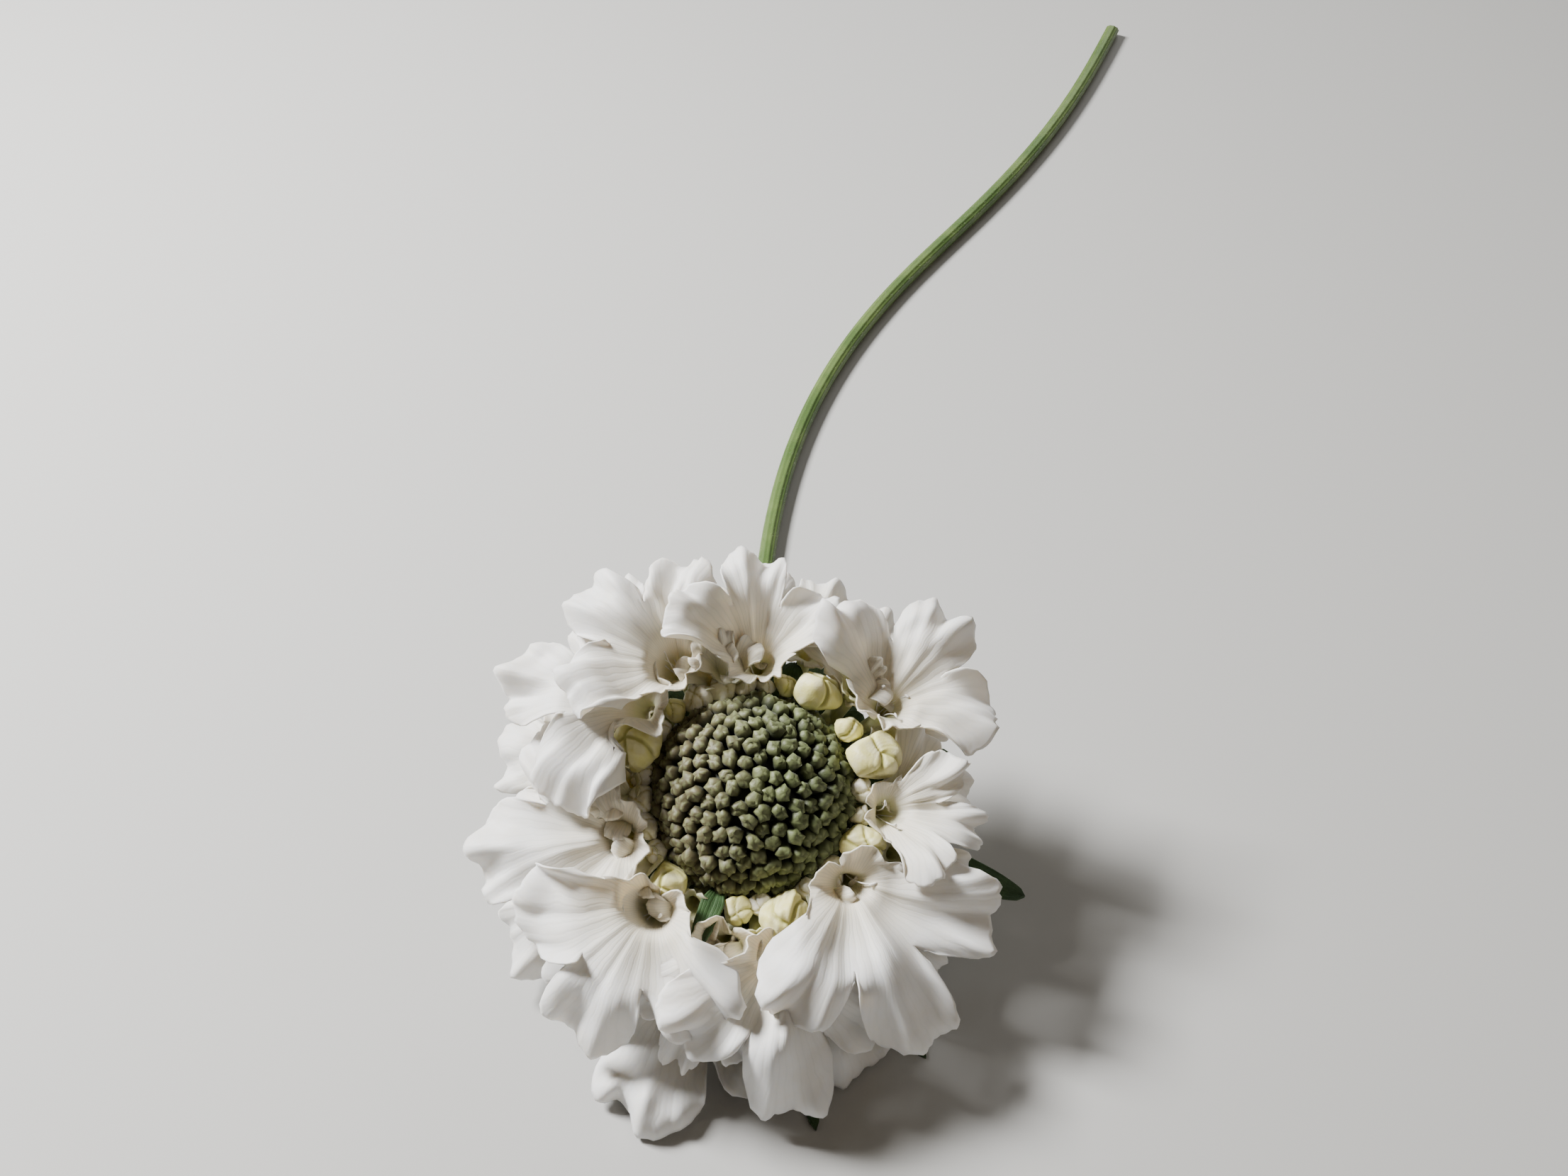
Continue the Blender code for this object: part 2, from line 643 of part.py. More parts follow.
def above_table(grid, thickness):
    """The grid raised where its blade would reach below the table."""
    resting = table_in_head(grid[..., 1]) + thickness / 2 / math.sin(FACE_UP)
    grid[..., 2] = np.maximum(grid[..., 2], resting)
    return grid


def laid_on(heights, floret):
    """The floret's grids, lifted clear of what lies below all but its throat, and then mapped."""
    grids = [clear_of_cream(grid) for grid in floret.grids()]
    lift = heights.lift(grids) * (SMALL_LIFT if floret.length < SMALL_FLORET else 1)
    for grid in grids:
        distance = np.linalg.norm(grid[..., :2] - floret.throat[:2], axis=-1)
        grid[..., 2] += lift[heights.cell(grid)] * smooth((distance - LIFT_FROM) / LIFT_OVER)
        above_table(grid, PETAL_THICKNESS)
    heights.add(grids)
    return grids


def build_involucre(heights, matrix, material):
    """The green cup under the head with its bracts."""
    blades = []
    for number, bract in enumerate(BRACTS):
        grid = above_table(bract_grid(*bract), BRACT_THICKNESS)
        heights.add([grid])
        blades.append(blade_mesh(f"bract_{number}", [grid], BRACT_THICKNESS, matrix))
    fuse("involucre", turned_mesh("cup", CUP_PROFILE, CUP_SIDES, matrix), blades, material)


def build_ray_florets(heights, matrix, material):
    """All the white florets, rooted in the knob's middle storey."""
    pieces = []
    order = sorted(direction for direction, *_ in RAY_FLORETS)
    for number, spec in enumerate(RAY_FLORETS):
        root = FIRST_ROOT + 2 * math.pi * order.index(spec[0]) / len(order)
        floret = Floret(number, root, *spec)
        grids = laid_on(heights, floret)
        pieces.append(blade_mesh(f"floret_{number}", grids, PETAL_THICKNESS, matrix, floret))
    profile = list(zip((WHITE_CORE_FOOT, WHITE_CORE_RADIUS, WHITE_CORE_RADIUS), WHITE_CORE_Z))
    fuse("ray_florets", turned_mesh("white_core", profile, CORE_SIDES, matrix), pieces, material)


def build_cream_florets(matrix, material):
    """Shut cream florets on short stalks round the disc."""
    up = Vector((0, 0, 1))
    pieces = []
    for number, (direction, distance, height, radius) in enumerate(CREAM_BUDS):
        a = math.radians(direction)
        out = Vector((math.cos(a), math.sin(a), 0))
        middle = out * distance + up * height
        lean = (out * CREAM_LEAN + up).normalized()
        root = out * CREAM_ROOT_RADIUS + up * sum(CREAM_CORE_Z) / 2
        knee = out * (distance - CREAM_KNEE) + up * (CREAM_CORE_Z[1] + CREAM_KNEE_RISE)
        stalk = [root, knee, middle - lean * radius * 0.6]
        radii = [CREAM_STALK_RADIUS] * len(stalk)
        pieces.append(limb_mesh(f"stalk_{number}", stalk, radii, CREAM_STALK_SIDES, matrix))
        points = [middle + lean * radius * along for along, _ in CREAM_BUD_SHAPE]
        radii = [radius * wide for _, wide in CREAM_BUD_SHAPE]
        tip = CREAM_BUD_TIP * radius
        pieces.append(limb_mesh(f"bud_{number}", points, radii, CREAM_BUD_SIDES, matrix, tip))
    profile = [(CREAM_CORE_RADIUS, z) for z in CREAM_CORE_Z]
    fuse("cream_florets", turned_mesh("cream_core", profile, CORE_SIDES, matrix), pieces, material)


def dome_point(share, turn):
    """(point, direction out) on the disc's dome, share 0 at its top and 1 at its foot."""
    tilt = share * DISC_FOOT_TILT
    radius = DISC_CORE_RADIUS * math.sin(tilt) / math.sin(DISC_FOOT_TILT)
    height = DISC_CORE_HEIGHT * (math.cos(tilt) - math.cos(DISC_FOOT_TILT))
    level = Vector((math.cos(turn), math.sin(turn), 0))
    up = Vector((0, 0, 1))
    foot = level * radius + up * (DISC_CORE_Z + DISC_LOWEST_BUD + height)
    return foot, level * math.sin(tilt) + up * math.cos(tilt)


def faces_round(vert):
    """The faces about a point of a closed mesh, in order."""
    first = loop = vert.link_loops[0]
    faces = []
    while not faces or loop != first:
        faces.append(loop.face)
        loop = loop.link_loop_prev.link_loop_radial_next
    return faces


def build_disc_florets(matrix, material):
    """The dome of shut green florets, each raised from its own cell of the dome between shared valleys."""
    hull = bmesh.new()
    out = {}
    for k in range(DISC_BUDS):
        foot, away = dome_point(((k + 0.5) / DISC_BUDS) ** DISC_SPREAD, k * GOLDEN_ANGLE)
        out[hull.verts.new(foot)] = away
    for k in range(DISC_SKIRT_SIDES):
        a = 2 * math.pi * k / DISC_SKIRT_SIDES
        hull.verts.new((DISC_SKIRT_RADIUS * math.cos(a), DISC_SKIRT_RADIUS * math.sin(a), DISC_CORE_Z))
    bmesh.ops.convex_hull(hull, input=hull.verts)
    relief = bmesh.new()
    valleys = {face: relief.verts.new(face.calc_center_median()) for face in hull.faces}
    for vert in hull.verts:
        ring = [valleys[face] for face in faces_round(vert)]
        away = out.get(vert)
        if away is None:
            fan(relief, ring, relief.verts.new(vert.co))
            continue
        shoulder = vert.co + away * DISC_BUD_SHOULDER
        raised = [relief.verts.new(shoulder + (v.co - vert.co) * DISC_BUD_WIDTH) for v in ring]
        for k, low in enumerate(ring):
            ahead = (k + 1) % len(ring)
            relief.faces.new((low, ring[ahead], raised[ahead]))
            relief.faces.new((low, raised[ahead], raised[k]))
        fan(relief, raised, relief.verts.new(vert.co + away * DISC_BUD_LENGTH))
    hull.free()
    bmesh.ops.transform(relief, matrix=matrix, verts=relief.verts)
    new_object("disc_florets", mesh_of(relief, "disc_florets"), material)


def stem_direction(travelled, neck):
    """The stem's direction: down out of the head, round the neck to level, then in a loose curve."""
    bend = (neck - travelled) / (neck - NECK_STRAIGHT)
    pitch = FACE_UP * min(max(bend, 0), 1) ** NECK_EASE
    run = (travelled - neck) / (STEM_LENGTH - neck)
    heading = STEM_BEND * float(smooth(run / 0.6)) - STEM_BEND_BACK * float(smooth(run * 2 - 1))
    level = Vector((math.sin(heading), math.cos(heading), 0)) * math.cos(pitch)
    return level - Vector((0, 0, math.sin(pitch)))


def stem_path():
    """(point, direction, radius) down the stem, from under the head to the cut."""
    face = Vector((0, -math.cos(FACE_UP), math.sin(FACE_UP)))
    point = HEAD_BASE - face * GAP
    drop = point.z - STEM_RADIUS_TOP - NECK_STRAIGHT * math.sin(FACE_UP)
    steepness = np.mean(np.sin(FACE_UP * np.linspace(0, 1, 401) ** NECK_EASE))
    neck = NECK_STRAIGHT + drop / float(steepness)
    bent = np.arange(0, neck, NECK_STEP)
    level = np.linspace(neck, STEM_LENGTH, int((STEM_LENGTH - neck) / STEM_STEP))
    stations = [float(travelled) for travelled in np.concatenate([bent, level])]
    made = []
    fine = 20
    for k, travelled in enumerate(stations):
        radius = STEM_RADIUS_TOP + (STEM_RADIUS_CUT - STEM_RADIUS_TOP) * travelled / STEM_LENGTH
        if travelled >= neck:
            point.z = radius
        collar = float(smooth(1 - travelled / STEM_COLLAR_LENGTH))
        wide = radius + (STEM_COLLAR_RADIUS - radius) * collar
        made.append((point.copy(), stem_direction(travelled, neck), wide))
        step = (stations[min(k + 1, len(stations) - 1)] - travelled) / fine
        for j in range(fine):
            point += step * stem_direction(travelled + step * (j + 0.5), neck)
    return made


def build_stem(material):
    path = stem_path()
    rings = []
    for number, (point, direction, radius) in enumerate(path):
        side = direction.cross(Vector((0, 0, 1))).normalized()
        up = side.cross(direction)
        ring = []
        for k in range(STEM_SIDES):
            a = 2 * math.pi * k / STEM_SIDES
            r = radius * (1 - STEM_RIB_DEPTH * (k % 2))
            corner = point + side * r * math.sin(a) - up * r * math.cos(a)
            if number == len(path) - 1:
                corner += direction * (corner - point).dot(up) * math.tan(CUT_SLANT)
            corner.z = max(corner.z, 0)
            ring.append(corner)
        rings.append(ring)
    new_object("stem", rings_mesh("stem", rings), material)


def main():
    clear_scene()
    materials = {name: make_material(name) for name in MATERIALS}
    matrix = head_matrix()
    heights = HeightMap()
    build_stem(materials["stem_green"])
    build_involucre(heights, matrix, materials["bract_green"])
    build_ray_florets(heights, matrix, materials["petal_white"])
    build_cream_florets(matrix, materials["bud_cream"])
    build_disc_florets(matrix, materials["disc_green"])


main()
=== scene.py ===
# %% [markdown]
# # A cut scabiosa, lying on a table
#
# A scabiosa head isn't one flower but a crowd of small ones, the florets. The outer florets are large,
# white and ruffled, a ring of cream ones is still shut, and the dome in the middle is packed with green
# buds. Green bracts hold the crowd from below, on a thin ribbed stem.
#
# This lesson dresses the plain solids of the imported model. Each plain solid is hidden and finer pieces
# take its place, with the same sizes, so the picture and the collision shapes agree.

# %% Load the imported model
import math

import bmesh
import bpy
import numpy as np
from mathutils import Matrix, Vector


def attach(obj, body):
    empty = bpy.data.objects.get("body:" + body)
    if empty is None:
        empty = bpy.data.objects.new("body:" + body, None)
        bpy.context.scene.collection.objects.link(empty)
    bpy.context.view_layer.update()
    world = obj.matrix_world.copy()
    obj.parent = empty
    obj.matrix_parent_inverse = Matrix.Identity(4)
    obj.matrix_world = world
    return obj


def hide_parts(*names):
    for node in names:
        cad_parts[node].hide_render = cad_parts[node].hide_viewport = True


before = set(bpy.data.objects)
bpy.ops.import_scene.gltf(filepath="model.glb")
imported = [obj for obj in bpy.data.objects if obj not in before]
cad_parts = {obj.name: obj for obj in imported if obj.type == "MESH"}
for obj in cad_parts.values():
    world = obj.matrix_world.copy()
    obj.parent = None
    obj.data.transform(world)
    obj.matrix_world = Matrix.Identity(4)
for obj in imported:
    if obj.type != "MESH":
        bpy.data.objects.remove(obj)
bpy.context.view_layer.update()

MM = 0.001
print("nodes:", sorted(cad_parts))

# %% [markdown]
# ## The head's own frame
#
# Everything in the head is easier to place looking straight into the flower: x to the right, y up, z out
# of its face, and the origin where the stem meets the head. One matrix then carries the finished mesh to
# its place on the table. The head leans back on a bent neck, so its face is turned up by 60 degrees.

# %% Head frame
HEAD_BASE = Vector((-35, -135.5, 15.4)) * MM
FACE_UP = math.radians(60)
right = Vector((1, 0, 0))
up_the_face = Vector((0, math.sin(FACE_UP), math.cos(FACE_UP)))
head_turn = Matrix((right, up_the_face, right.cross(up_the_face))).transposed()
head_matrix = Matrix.Translation(HEAD_BASE) @ head_turn.to_4x4()


def smooth(t):
    """0 below 0, 1 above 1, and an even curve between them."""
    t = np.clip(t, 0, 1)
    return t * t * (3 - 2 * t)


def table_in_head(y):
    """Height of the table top in the head's frame, at height y up the face."""
    return (-HEAD_BASE.z - y * math.cos(FACE_UP)) / math.sin(FACE_UP)


print("the face points to", tuple(round(v, 2) for v in head_turn @ Vector((0, 0, 1))))

# %% [markdown]
# ## Camera
#
# The photograph looks down into the flower, a little from the front. The flower lies down here, so the
# camera looks down on it from in front of the head, near enough for the head to fill the lower half of
# the picture while the stem runs away behind it.

# %% Camera
CAMERA_EYE = (-0.030, -0.297, 0.223)
CAMERA_TARGET = (-0.030, -0.068, 0.0)


def new_object(name, data):
    """An object in the scene that shows a mesh, a light or a camera."""
    made = bpy.data.objects.new(name, data)
    bpy.context.scene.collection.objects.link(made)
    return made


def look_at(obj, eye, target):
    """Put a camera or a light at its place and turn it to its target."""
    obj.location = eye
    obj.rotation_euler = (Vector(target) - Vector(eye)).to_track_quat("-Z", "Y").to_euler()


camera = new_object("camera", bpy.data.cameras.new("camera"))
camera.data.lens = 36
camera.data.clip_start = 0.01
look_at(camera, CAMERA_EYE, CAMERA_TARGET)
bpy.context.scene.camera = camera
print("camera stands", round((camera.location - HEAD_BASE).length, 3), "m from the head")

# %% [markdown]
# ## Light and floor
#
# White petals show their folds by their shadows alone, so light that comes from everywhere would flatten
# them. A strong key light on the left, small enough to draw the folds, does most of the work. A large
# warm light on the right opens the shadows a little, a cool one behind brightens the far petals, and the
# room adds a weak warm glow. The pale grey table is darker than the petals, so their outline stays clear.

# %% Light and floor
LIGHT_TARGET = (-0.03, -0.1, 0.02)
LIGHTS = {
    "key": {"place": (-0.52, 0.08, 0.54), "size": 0.2, "watts": 18.5, "colour": (1.0, 0.99, 0.975)},
    "fill": {"place": (0.65, -0.45, 0.45), "size": 0.7, "watts": 0.8, "colour": (1.0, 0.91, 0.80)},
    "back": {"place": (0.25, 0.70, 0.5), "size": 0.5, "watts": 2.0, "colour": (0.95, 0.98, 1.0)},
}
TABLE_REACH = 3


def start_material(name):
    """A new material, with its node tree and its shader."""
    material = bpy.data.materials.new(name)
    material.use_nodes = True
    return material, material.node_tree, material.node_tree.nodes["Principled BSDF"]


def set_inputs(made, **values):
    """Plain values for a node's own inputs, each called by its name with _ for a space."""
    for label, value in values.items():
        made.inputs[label.replace("_", " ")].default_value = value
    return made


for name, light in LIGHTS.items():
    lamp = new_object(name, bpy.data.lights.new(name, "AREA"))
    lamp.data.size = light["size"]
    lamp.data.energy = light["watts"]
    lamp.data.color = light["colour"]
    look_at(lamp, light["place"], LIGHT_TARGET)

world = bpy.data.worlds.new("studio")
world.use_nodes = True
set_inputs(world.node_tree.nodes["Background"], Color=(0.93, 0.78, 0.61, 1), Strength=0.115)
bpy.context.scene.world = world

floor_corners = [(x * TABLE_REACH, y * TABLE_REACH, 0) for x, y in ((-1, -1), (1, -1), (1, 1), (-1, 1))]
floor_mesh = bpy.data.meshes.new("floor")
floor_mesh.from_pydata(floor_corners, [], [(0, 1, 2, 3)])
floor = new_object("floor", floor_mesh)
floor_material, _, shader = start_material("pale_table")
set_inputs(shader, Base_Color=(0.45, 0.45, 0.44, 1), Roughness=0.75)
floor_mesh.materials.append(floor_material)
print("lights:", sorted(LIGHTS))

# %% [markdown]
# ## Small tools for node trees
#
# Materials and Geometry Nodes are both trees of nodes. A tree can be clicked together by hand, but a
# script that links each node as it makes it is easier to read and to repeat. The first tool makes a node,
# sets its options, and fills or links its inputs in one call. The others are the few nodes that come up
# again and again: a sum, a vector put together or taken apart, a blend of two colours and a change of
# range.

# %% Node tools
def node(tree, kind, inputs=None, **options):
    """A node of a kind, with options set and inputs given as values or as sockets to link from."""
    made = tree.nodes.new(kind)
    for name, value in options.items():
        setattr(made, name, value)
    for key, value in (inputs or {}).items():
        socket = made.inputs[key]
        if isinstance(value, bpy.types.NodeSocket):
            tree.links.new(value, socket)
        else:
            socket.default_value = value
    return made


def maths(tree, operation, *numbers):
    """A sum on one, two or three numbers."""
    return node(tree, "ShaderNodeMath", dict(enumerate(numbers)), operation=operation).outputs[0]


def vector(tree, x=0.0, y=0.0, z=0.0):
    return node(tree, "ShaderNodeCombineXYZ", {"X": x, "Y": y, "Z": z}).outputs[0]


def axes(tree, arrow):
    """The X, Y and Z of a vector."""
    return node(tree, "ShaderNodeSeparateXYZ", {0: arrow}).outputs


def scaled(tree, arrow, factor):
    return node(tree, "ShaderNodeVectorMath", {0: arrow, "Scale": factor}, operation="SCALE").outputs[0]


def between_ends(tree, start, end):
    """The arrow from one place to another."""
    return node(tree, "ShaderNodeVectorMath", {0: end, 1: start}, operation="SUBTRACT").outputs[0]


print("nodes, sums and vectors ready")


# %% Colours, ranges and groups
def mix_colour(tree, share, first, second):
    """A blend of two colours, each a socket or (red, green, blue)."""
    first, second = ((*c, 1) if isinstance(c, tuple) else c for c in (first, second))
    return node(tree, "ShaderNodeMix", {0: share, 6: first, 7: second}, data_type="RGBA").outputs[2]


def ranged(tree, value, low, high, to_low=0.0, to_high=1.0):
    """A value carried from one range to another, with soft ends."""
    ends = {0: value, 1: low, 2: high, 3: to_low, 4: to_high}
    return node(tree, "ShaderNodeMapRange", ends, interpolation_type="SMOOTHSTEP").outputs[0]


def surface_place(tree, kind):
    """Where a point of the surface is: "UV" on its blade, or "Object" in the scene."""
    return node(tree, "ShaderNodeTexCoord").outputs[kind]


def new_group(name, kind, inputs, outputs):
    """A node group with named inputs and outputs, each (name, socket type, default)."""
    group = bpy.data.node_groups.new(name, kind)
    for label, socket, value in inputs:
        made = group.interface.new_socket(name=label, in_out="INPUT", socket_type=socket)
        if value is not None:
            made.default_value = value
    for label, socket in outputs:
        group.interface.new_socket(name=label, in_out="OUTPUT", socket_type=socket)
    return group, group.nodes.new("NodeGroupInput"), group.nodes.new("NodeGroupOutput")


print("colours, ranges and groups ready")

# %% [markdown]
# ## Mottling, an effect that every plant part shares
#
# Living tissue is never one even colour: it is mottled softly on the scale of some millimetres and finely
# on the scale of cells. The effect is made once, as a node group with its two sizes as inputs, and each
# material uses it with its own sizes. It reads places in the scene, so it runs on from piece to piece.

# %% Mottle
mottle, given, result = new_group(
    "mottle",
    "ShaderNodeTree",
    [("Patch Size", "NodeSocketFloat", 4.0), ("Cell Size", "NodeSocketFloat", 0.5)],
    [("Patches", "NodeSocketFloat"), ("Cells", "NodeSocketFloat")],
)
in_mm = scaled(mottle, surface_place(mottle, "Object"), 1 / MM)
for label, size, detail in (("Patches", "Patch Size", 3.0), ("Cells", "Cell Size", 2.0)):
    scale = maths(mottle, "DIVIDE", 1.0, given.outputs[size])
    noise = node(mottle, "ShaderNodeTexNoise", {"Vector": in_mm, "Scale": scale, "Detail": detail})
    mottle.links.new(noise.outputs["Fac"], result.inputs[label])
print("mottle has", len(mottle.nodes), "nodes")

# %% [markdown]
# ## Veins, the other shared effect
#
# Petals and bracts both carry veins that run along them. A picture of veins could be painted, but a wave
# across the blade, bent by a little noise, gives them at any size. They read the piece's own UV map, where
# U runs across a blade and V along it, so they follow the blade wherever it bends.

# %% Veins
veins, given, result = new_group(
    "veins",
    "ShaderNodeTree",
    [
        ("Across", "NodeSocketFloat", 20.0),
        ("Along", "NodeSocketFloat", 1.5),
        ("Wander", "NodeSocketFloat", 0.6),
    ],
    [("Lines", "NodeSocketFloat"), ("Streaks", "NodeSocketFloat")],
)
blade_uv = surface_place(veins, "UV")
across, along = list(axes(veins, blade_uv))[:2]
stray = node(veins, "ShaderNodeTexNoise", {"Vector": blade_uv, "Scale": 9.0, "Detail": 2.0}).outputs["Fac"]
count = maths(veins, "MULTIPLY", across, given.outputs["Across"])
bent = maths(veins, "MULTIPLY_ADD", stray, given.outputs["Wander"], count)
wave = maths(veins, "SINE", maths(veins, "MULTIPLY", bent, 2 * math.pi))
line = maths(veins, "POWER", maths(veins, "MULTIPLY_ADD", wave, 0.5, 0.5), 5.0)
veins.links.new(line, result.inputs["Lines"])
stretched = maths(veins, "MULTIPLY", along, given.outputs["Along"])
drawn_out = vector(veins, maths(veins, "MULTIPLY", bent, 1.6), stretched)
streaks = node(veins, "ShaderNodeTexNoise", {"Vector": drawn_out, "Scale": 1.0, "Detail": 3.0}).outputs["Fac"]
veins.links.new(streaks, result.inputs["Streaks"])
print("shared effects:", [group.name for group in bpy.data.node_groups])

# %% [markdown]
# ## Petals: thin, white and a little see-through
#
# A scabiosa petal is a quarter of a millimetre of soft tissue. It scatters light inside, so its shadows
# are soft and warm and its edges glow, which plain white paint doesn't do. Subsurface scattering gives
# that. The colour runs from green-yellow in the throat through cream to a warm white. The cream is the
# petal's own, and its warmer, darker tone and its reach out from the throat are painted shade at the
# petal's base. Fine grey-green veins fade towards the margin and darken towards the throat as painted
# shade there. The veins and creases are also a bump along the blade.

# %% Petal tissue
PETAL_WHITE = (0.82, 0.805, 0.78)
CREAM_AND_THROAT_SHADE = (0.75, 0.68, 0.54)
THROAT_GREEN = (0.52, 0.54, 0.25)
VEIN_GREY_AND_SHADE = (0.50, 0.51, 0.47)
PATCH_TINT = (0.93, 0.89, 0.83)


def effect(tree, group, **sizes):
    """One of the shared effects, placed in a material with its own sizes."""
    return set_inputs(node(tree, "ShaderNodeGroup", node_tree=group), **sizes)


def bump(tree, shader, height, strength, depth):
    made = node(tree, "ShaderNodeBump", {"Strength": strength, "Distance": depth, "Height": height})
    tree.links.new(made.outputs["Normal"], shader.inputs["Normal"])


petal_tissue, tree, shader = start_material("petal_tissue")
spots = effect(tree, mottle, Patch_Size=5.0, Cell_Size=0.35)
lines = effect(tree, veins, Across=64.0, Along=3.0, Wander=1.2)
along = axes(tree, surface_place(tree, "UV"))["Y"]
# The cream is the petal's own colour, made warmer and darker near the throat as painted shade.
throat = mix_colour(tree, ranged(tree, along, 0.0, 0.16), THROAT_GREEN, CREAM_AND_THROAT_SHADE)
body = mix_colour(tree, ranged(tree, along, 0.08, 0.6), throat, PETAL_WHITE)
patch_colour = tuple(share * c for share, c in zip(PATCH_TINT, PETAL_WHITE))
patch_share = maths(tree, "MULTIPLY", ranged(tree, spots.outputs["Patches"], 0.42, 0.72), 0.5)
patched = mix_colour(tree, patch_share, body, patch_colour)
# The veins are real. Their grey grows stronger towards the throat as painted shade.
vein_and_throat_shade = ranged(tree, along, 0.1, 0.55, 0.42, 0.10)
vein_share = maths(tree, "MULTIPLY", lines.outputs["Lines"], vein_and_throat_shade)
tree.links.new(mix_colour(tree, vein_share, patched, VEIN_GREY_AND_SHADE), shader.inputs["Base Color"])
set_inputs(shader, Roughness=0.55, Specular_IOR_Level=0.35, Sheen_Weight=0.12, Sheen_Roughness=0.4)
set_inputs(shader, Subsurface_Weight=0.28, Subsurface_Radius=(1.0, 0.72, 0.46), Subsurface_Scale=1.4 * MM)
creases = maths(tree, "MULTIPLY_ADD", lines.outputs["Lines"], -0.35, lines.outputs["Streaks"])
bump(tree, shader, maths(tree, "MULTIPLY_ADD", spots.outputs["Cells"], 0.22, creases), 0.35, 0.13 * MM)
print(petal_tissue.name, "has", len(tree.nodes), "nodes")

# %% [markdown]
# ## Bract skin: dark green and satin
#
# Bracts are small leaves. Their skin is firmer than a petal's and lets little light in, so it needs no
# scattering, only two greens in patches, paler veins and a roughness that changes from cell to cell. The
# same function gives the paler skin of the knob inside the head later on.

# %% Bract skin
def leaf_material(name, deep, pale, rib, vein_count, roughness):
    material, tree, shader = start_material(name)
    spots = effect(tree, mottle, Patch_Size=3.0, Cell_Size=0.25)
    lines = effect(tree, veins, Across=vein_count, Along=6.0, Wander=0.5)
    patched = mix_colour(tree, ranged(tree, spots.outputs["Patches"], 0.35, 0.7), deep, pale)
    vein_share = maths(tree, "MULTIPLY", lines.outputs["Lines"], 0.35)
    tree.links.new(mix_colour(tree, vein_share, patched, rib), shader.inputs["Base Color"])
    rough = ranged(tree, spots.outputs["Cells"], 0.3, 0.7, roughness, roughness + 0.18)
    tree.links.new(rough, shader.inputs["Roughness"])
    set_inputs(shader, Specular_IOR_Level=0.4)
    height = maths(tree, "MULTIPLY_ADD", lines.outputs["Lines"], -0.5, spots.outputs["Cells"])
    bump(tree, shader, height, 0.5, 0.15 * MM)
    return material


BRACT_DEEP, BRACT_PALE, BRACT_RIB = (0.022, 0.055, 0.016), (0.036, 0.080, 0.024), (0.055, 0.10, 0.035)
bract_skin = leaf_material("bract_skin", BRACT_DEEP, BRACT_PALE, BRACT_RIB, vein_count=7.0, roughness=0.48)
print("materials:", [material.name for material in bpy.data.materials])

# %% [markdown]
# ## A sheet with a thickness
#
# Petals and bracts are first made as sheets without thickness, from grids of points. Neighbouring grids
# share their edge points, which are merged so that the sheet bends as one. A Solidify modifier then gives
# both faces and the rim. Modelling the two faces by hand would double the work, and they would drift
# apart.

# %% Sheets
def finished_mesh(holder):
    """The plain mesh that an object's modifiers make. The object and its own mesh are removed."""
    source = holder.data
    graph = bpy.context.evaluated_depsgraph_get()
    made = bpy.data.meshes.new_from_object(holder.evaluated_get(graph))
    holder.modifiers.clear()
    bpy.data.objects.remove(holder, do_unlink=True)
    bpy.data.meshes.remove(source)
    return made


def sheet_mesh(name, grids, uvs, thickness, matrix):
    """A closed blade about grids of points, each with a UV map that runs across and along it."""
    points, faces, flat_uv = [], [], []
    start = 0
    for grid, uv in zip(grids, uvs):
        rows, columns = grid.shape[:2]
        points.append(grid.reshape(-1, 3))
        flat_uv.append(uv.reshape(-1, 2))
        corner = start + (np.arange(rows - 1)[:, None] * columns + np.arange(columns - 1)[None, :]).ravel()
        faces.append(np.stack([corner, corner + 1, corner + columns + 1, corner + columns], -1))
        start += rows * columns
    points, faces, flat_uv = map(np.concatenate, (points, faces, flat_uv))
    mesh = bpy.data.meshes.new(name)
    mesh.from_pydata(points, [], faces.tolist())
    layer = mesh.uv_layers.new(name="blade")
    layer.data.foreach_set("uv", flat_uv[faces.ravel()].astype(np.float32).ravel())
    bm = bmesh.new()
    bm.from_mesh(mesh)
    bmesh.ops.remove_doubles(bm, verts=bm.verts, dist=0.01 * MM)
    bm.to_mesh(mesh)
    bm.free()
    holder = new_object(name, mesh)
    shell = holder.modifiers.new("thickness", "SOLIDIFY")
    shell.thickness = thickness
    shell.offset = 0
    thick = finished_mesh(holder)
    thick.transform(matrix)
    return thick


print("sheets are made of grids")

# %% [markdown]
# ## Round forms
#
# The cup, the knob, the stalks and the buds are all rings of points, one after the other, with faces
# between them. They could be turned with a Spin, but the rings are few and each is asked to be something
# else: round an axis, along a bent path, or with five corners. So one tool joins rings, and the others
# only place them.

# %% Round forms
def bridge(bm, rings):
    """Faces from each ring of corners to the next."""
    for low, high in zip(rings, rings[1:]):
        for k in range(len(low)):
            after = (k + 1) % len(low)
            bm.faces.new((low[k], low[after], high[after], high[k]))


def outward_mesh(name, bm):
    """The finished mesh of a bmesh, with its faces pointing outwards."""
    bmesh.ops.recalc_face_normals(bm, faces=bm.faces)
    mesh = bpy.data.meshes.new(name)
    bm.to_mesh(mesh)
    bm.free()
    return mesh


def ringed_mesh(name, rings_of_points, matrix):
    """A solid through rings of points, closed by a face at both ends."""
    bm = bmesh.new()
    rings = [[bm.verts.new(point) for point in ring] for ring in rings_of_points]
    bridge(bm, rings)
    bm.faces.new(rings[0][::-1])
    bm.faces.new(rings[-1])
    mesh = outward_mesh(name, bm)
    mesh.transform(matrix)
    return mesh


def circle(radius, sides):
    turns = [2 * math.pi * k / sides for k in range(sides)]
    return [Vector((radius * math.cos(a), radius * math.sin(a), 0)) for a in turns]


def turned_mesh(name, profile, sides, matrix):
    """A solid of revolution about the head's axis, from (radius, height) pairs in millimetres."""
    rings = [[point + Vector((0, 0, z * MM)) for point in circle(r * MM, sides)] for r, z in profile]
    return ringed_mesh(name, rings, matrix)


print("a ring of 8 has", len(circle(1, 8)), "points")
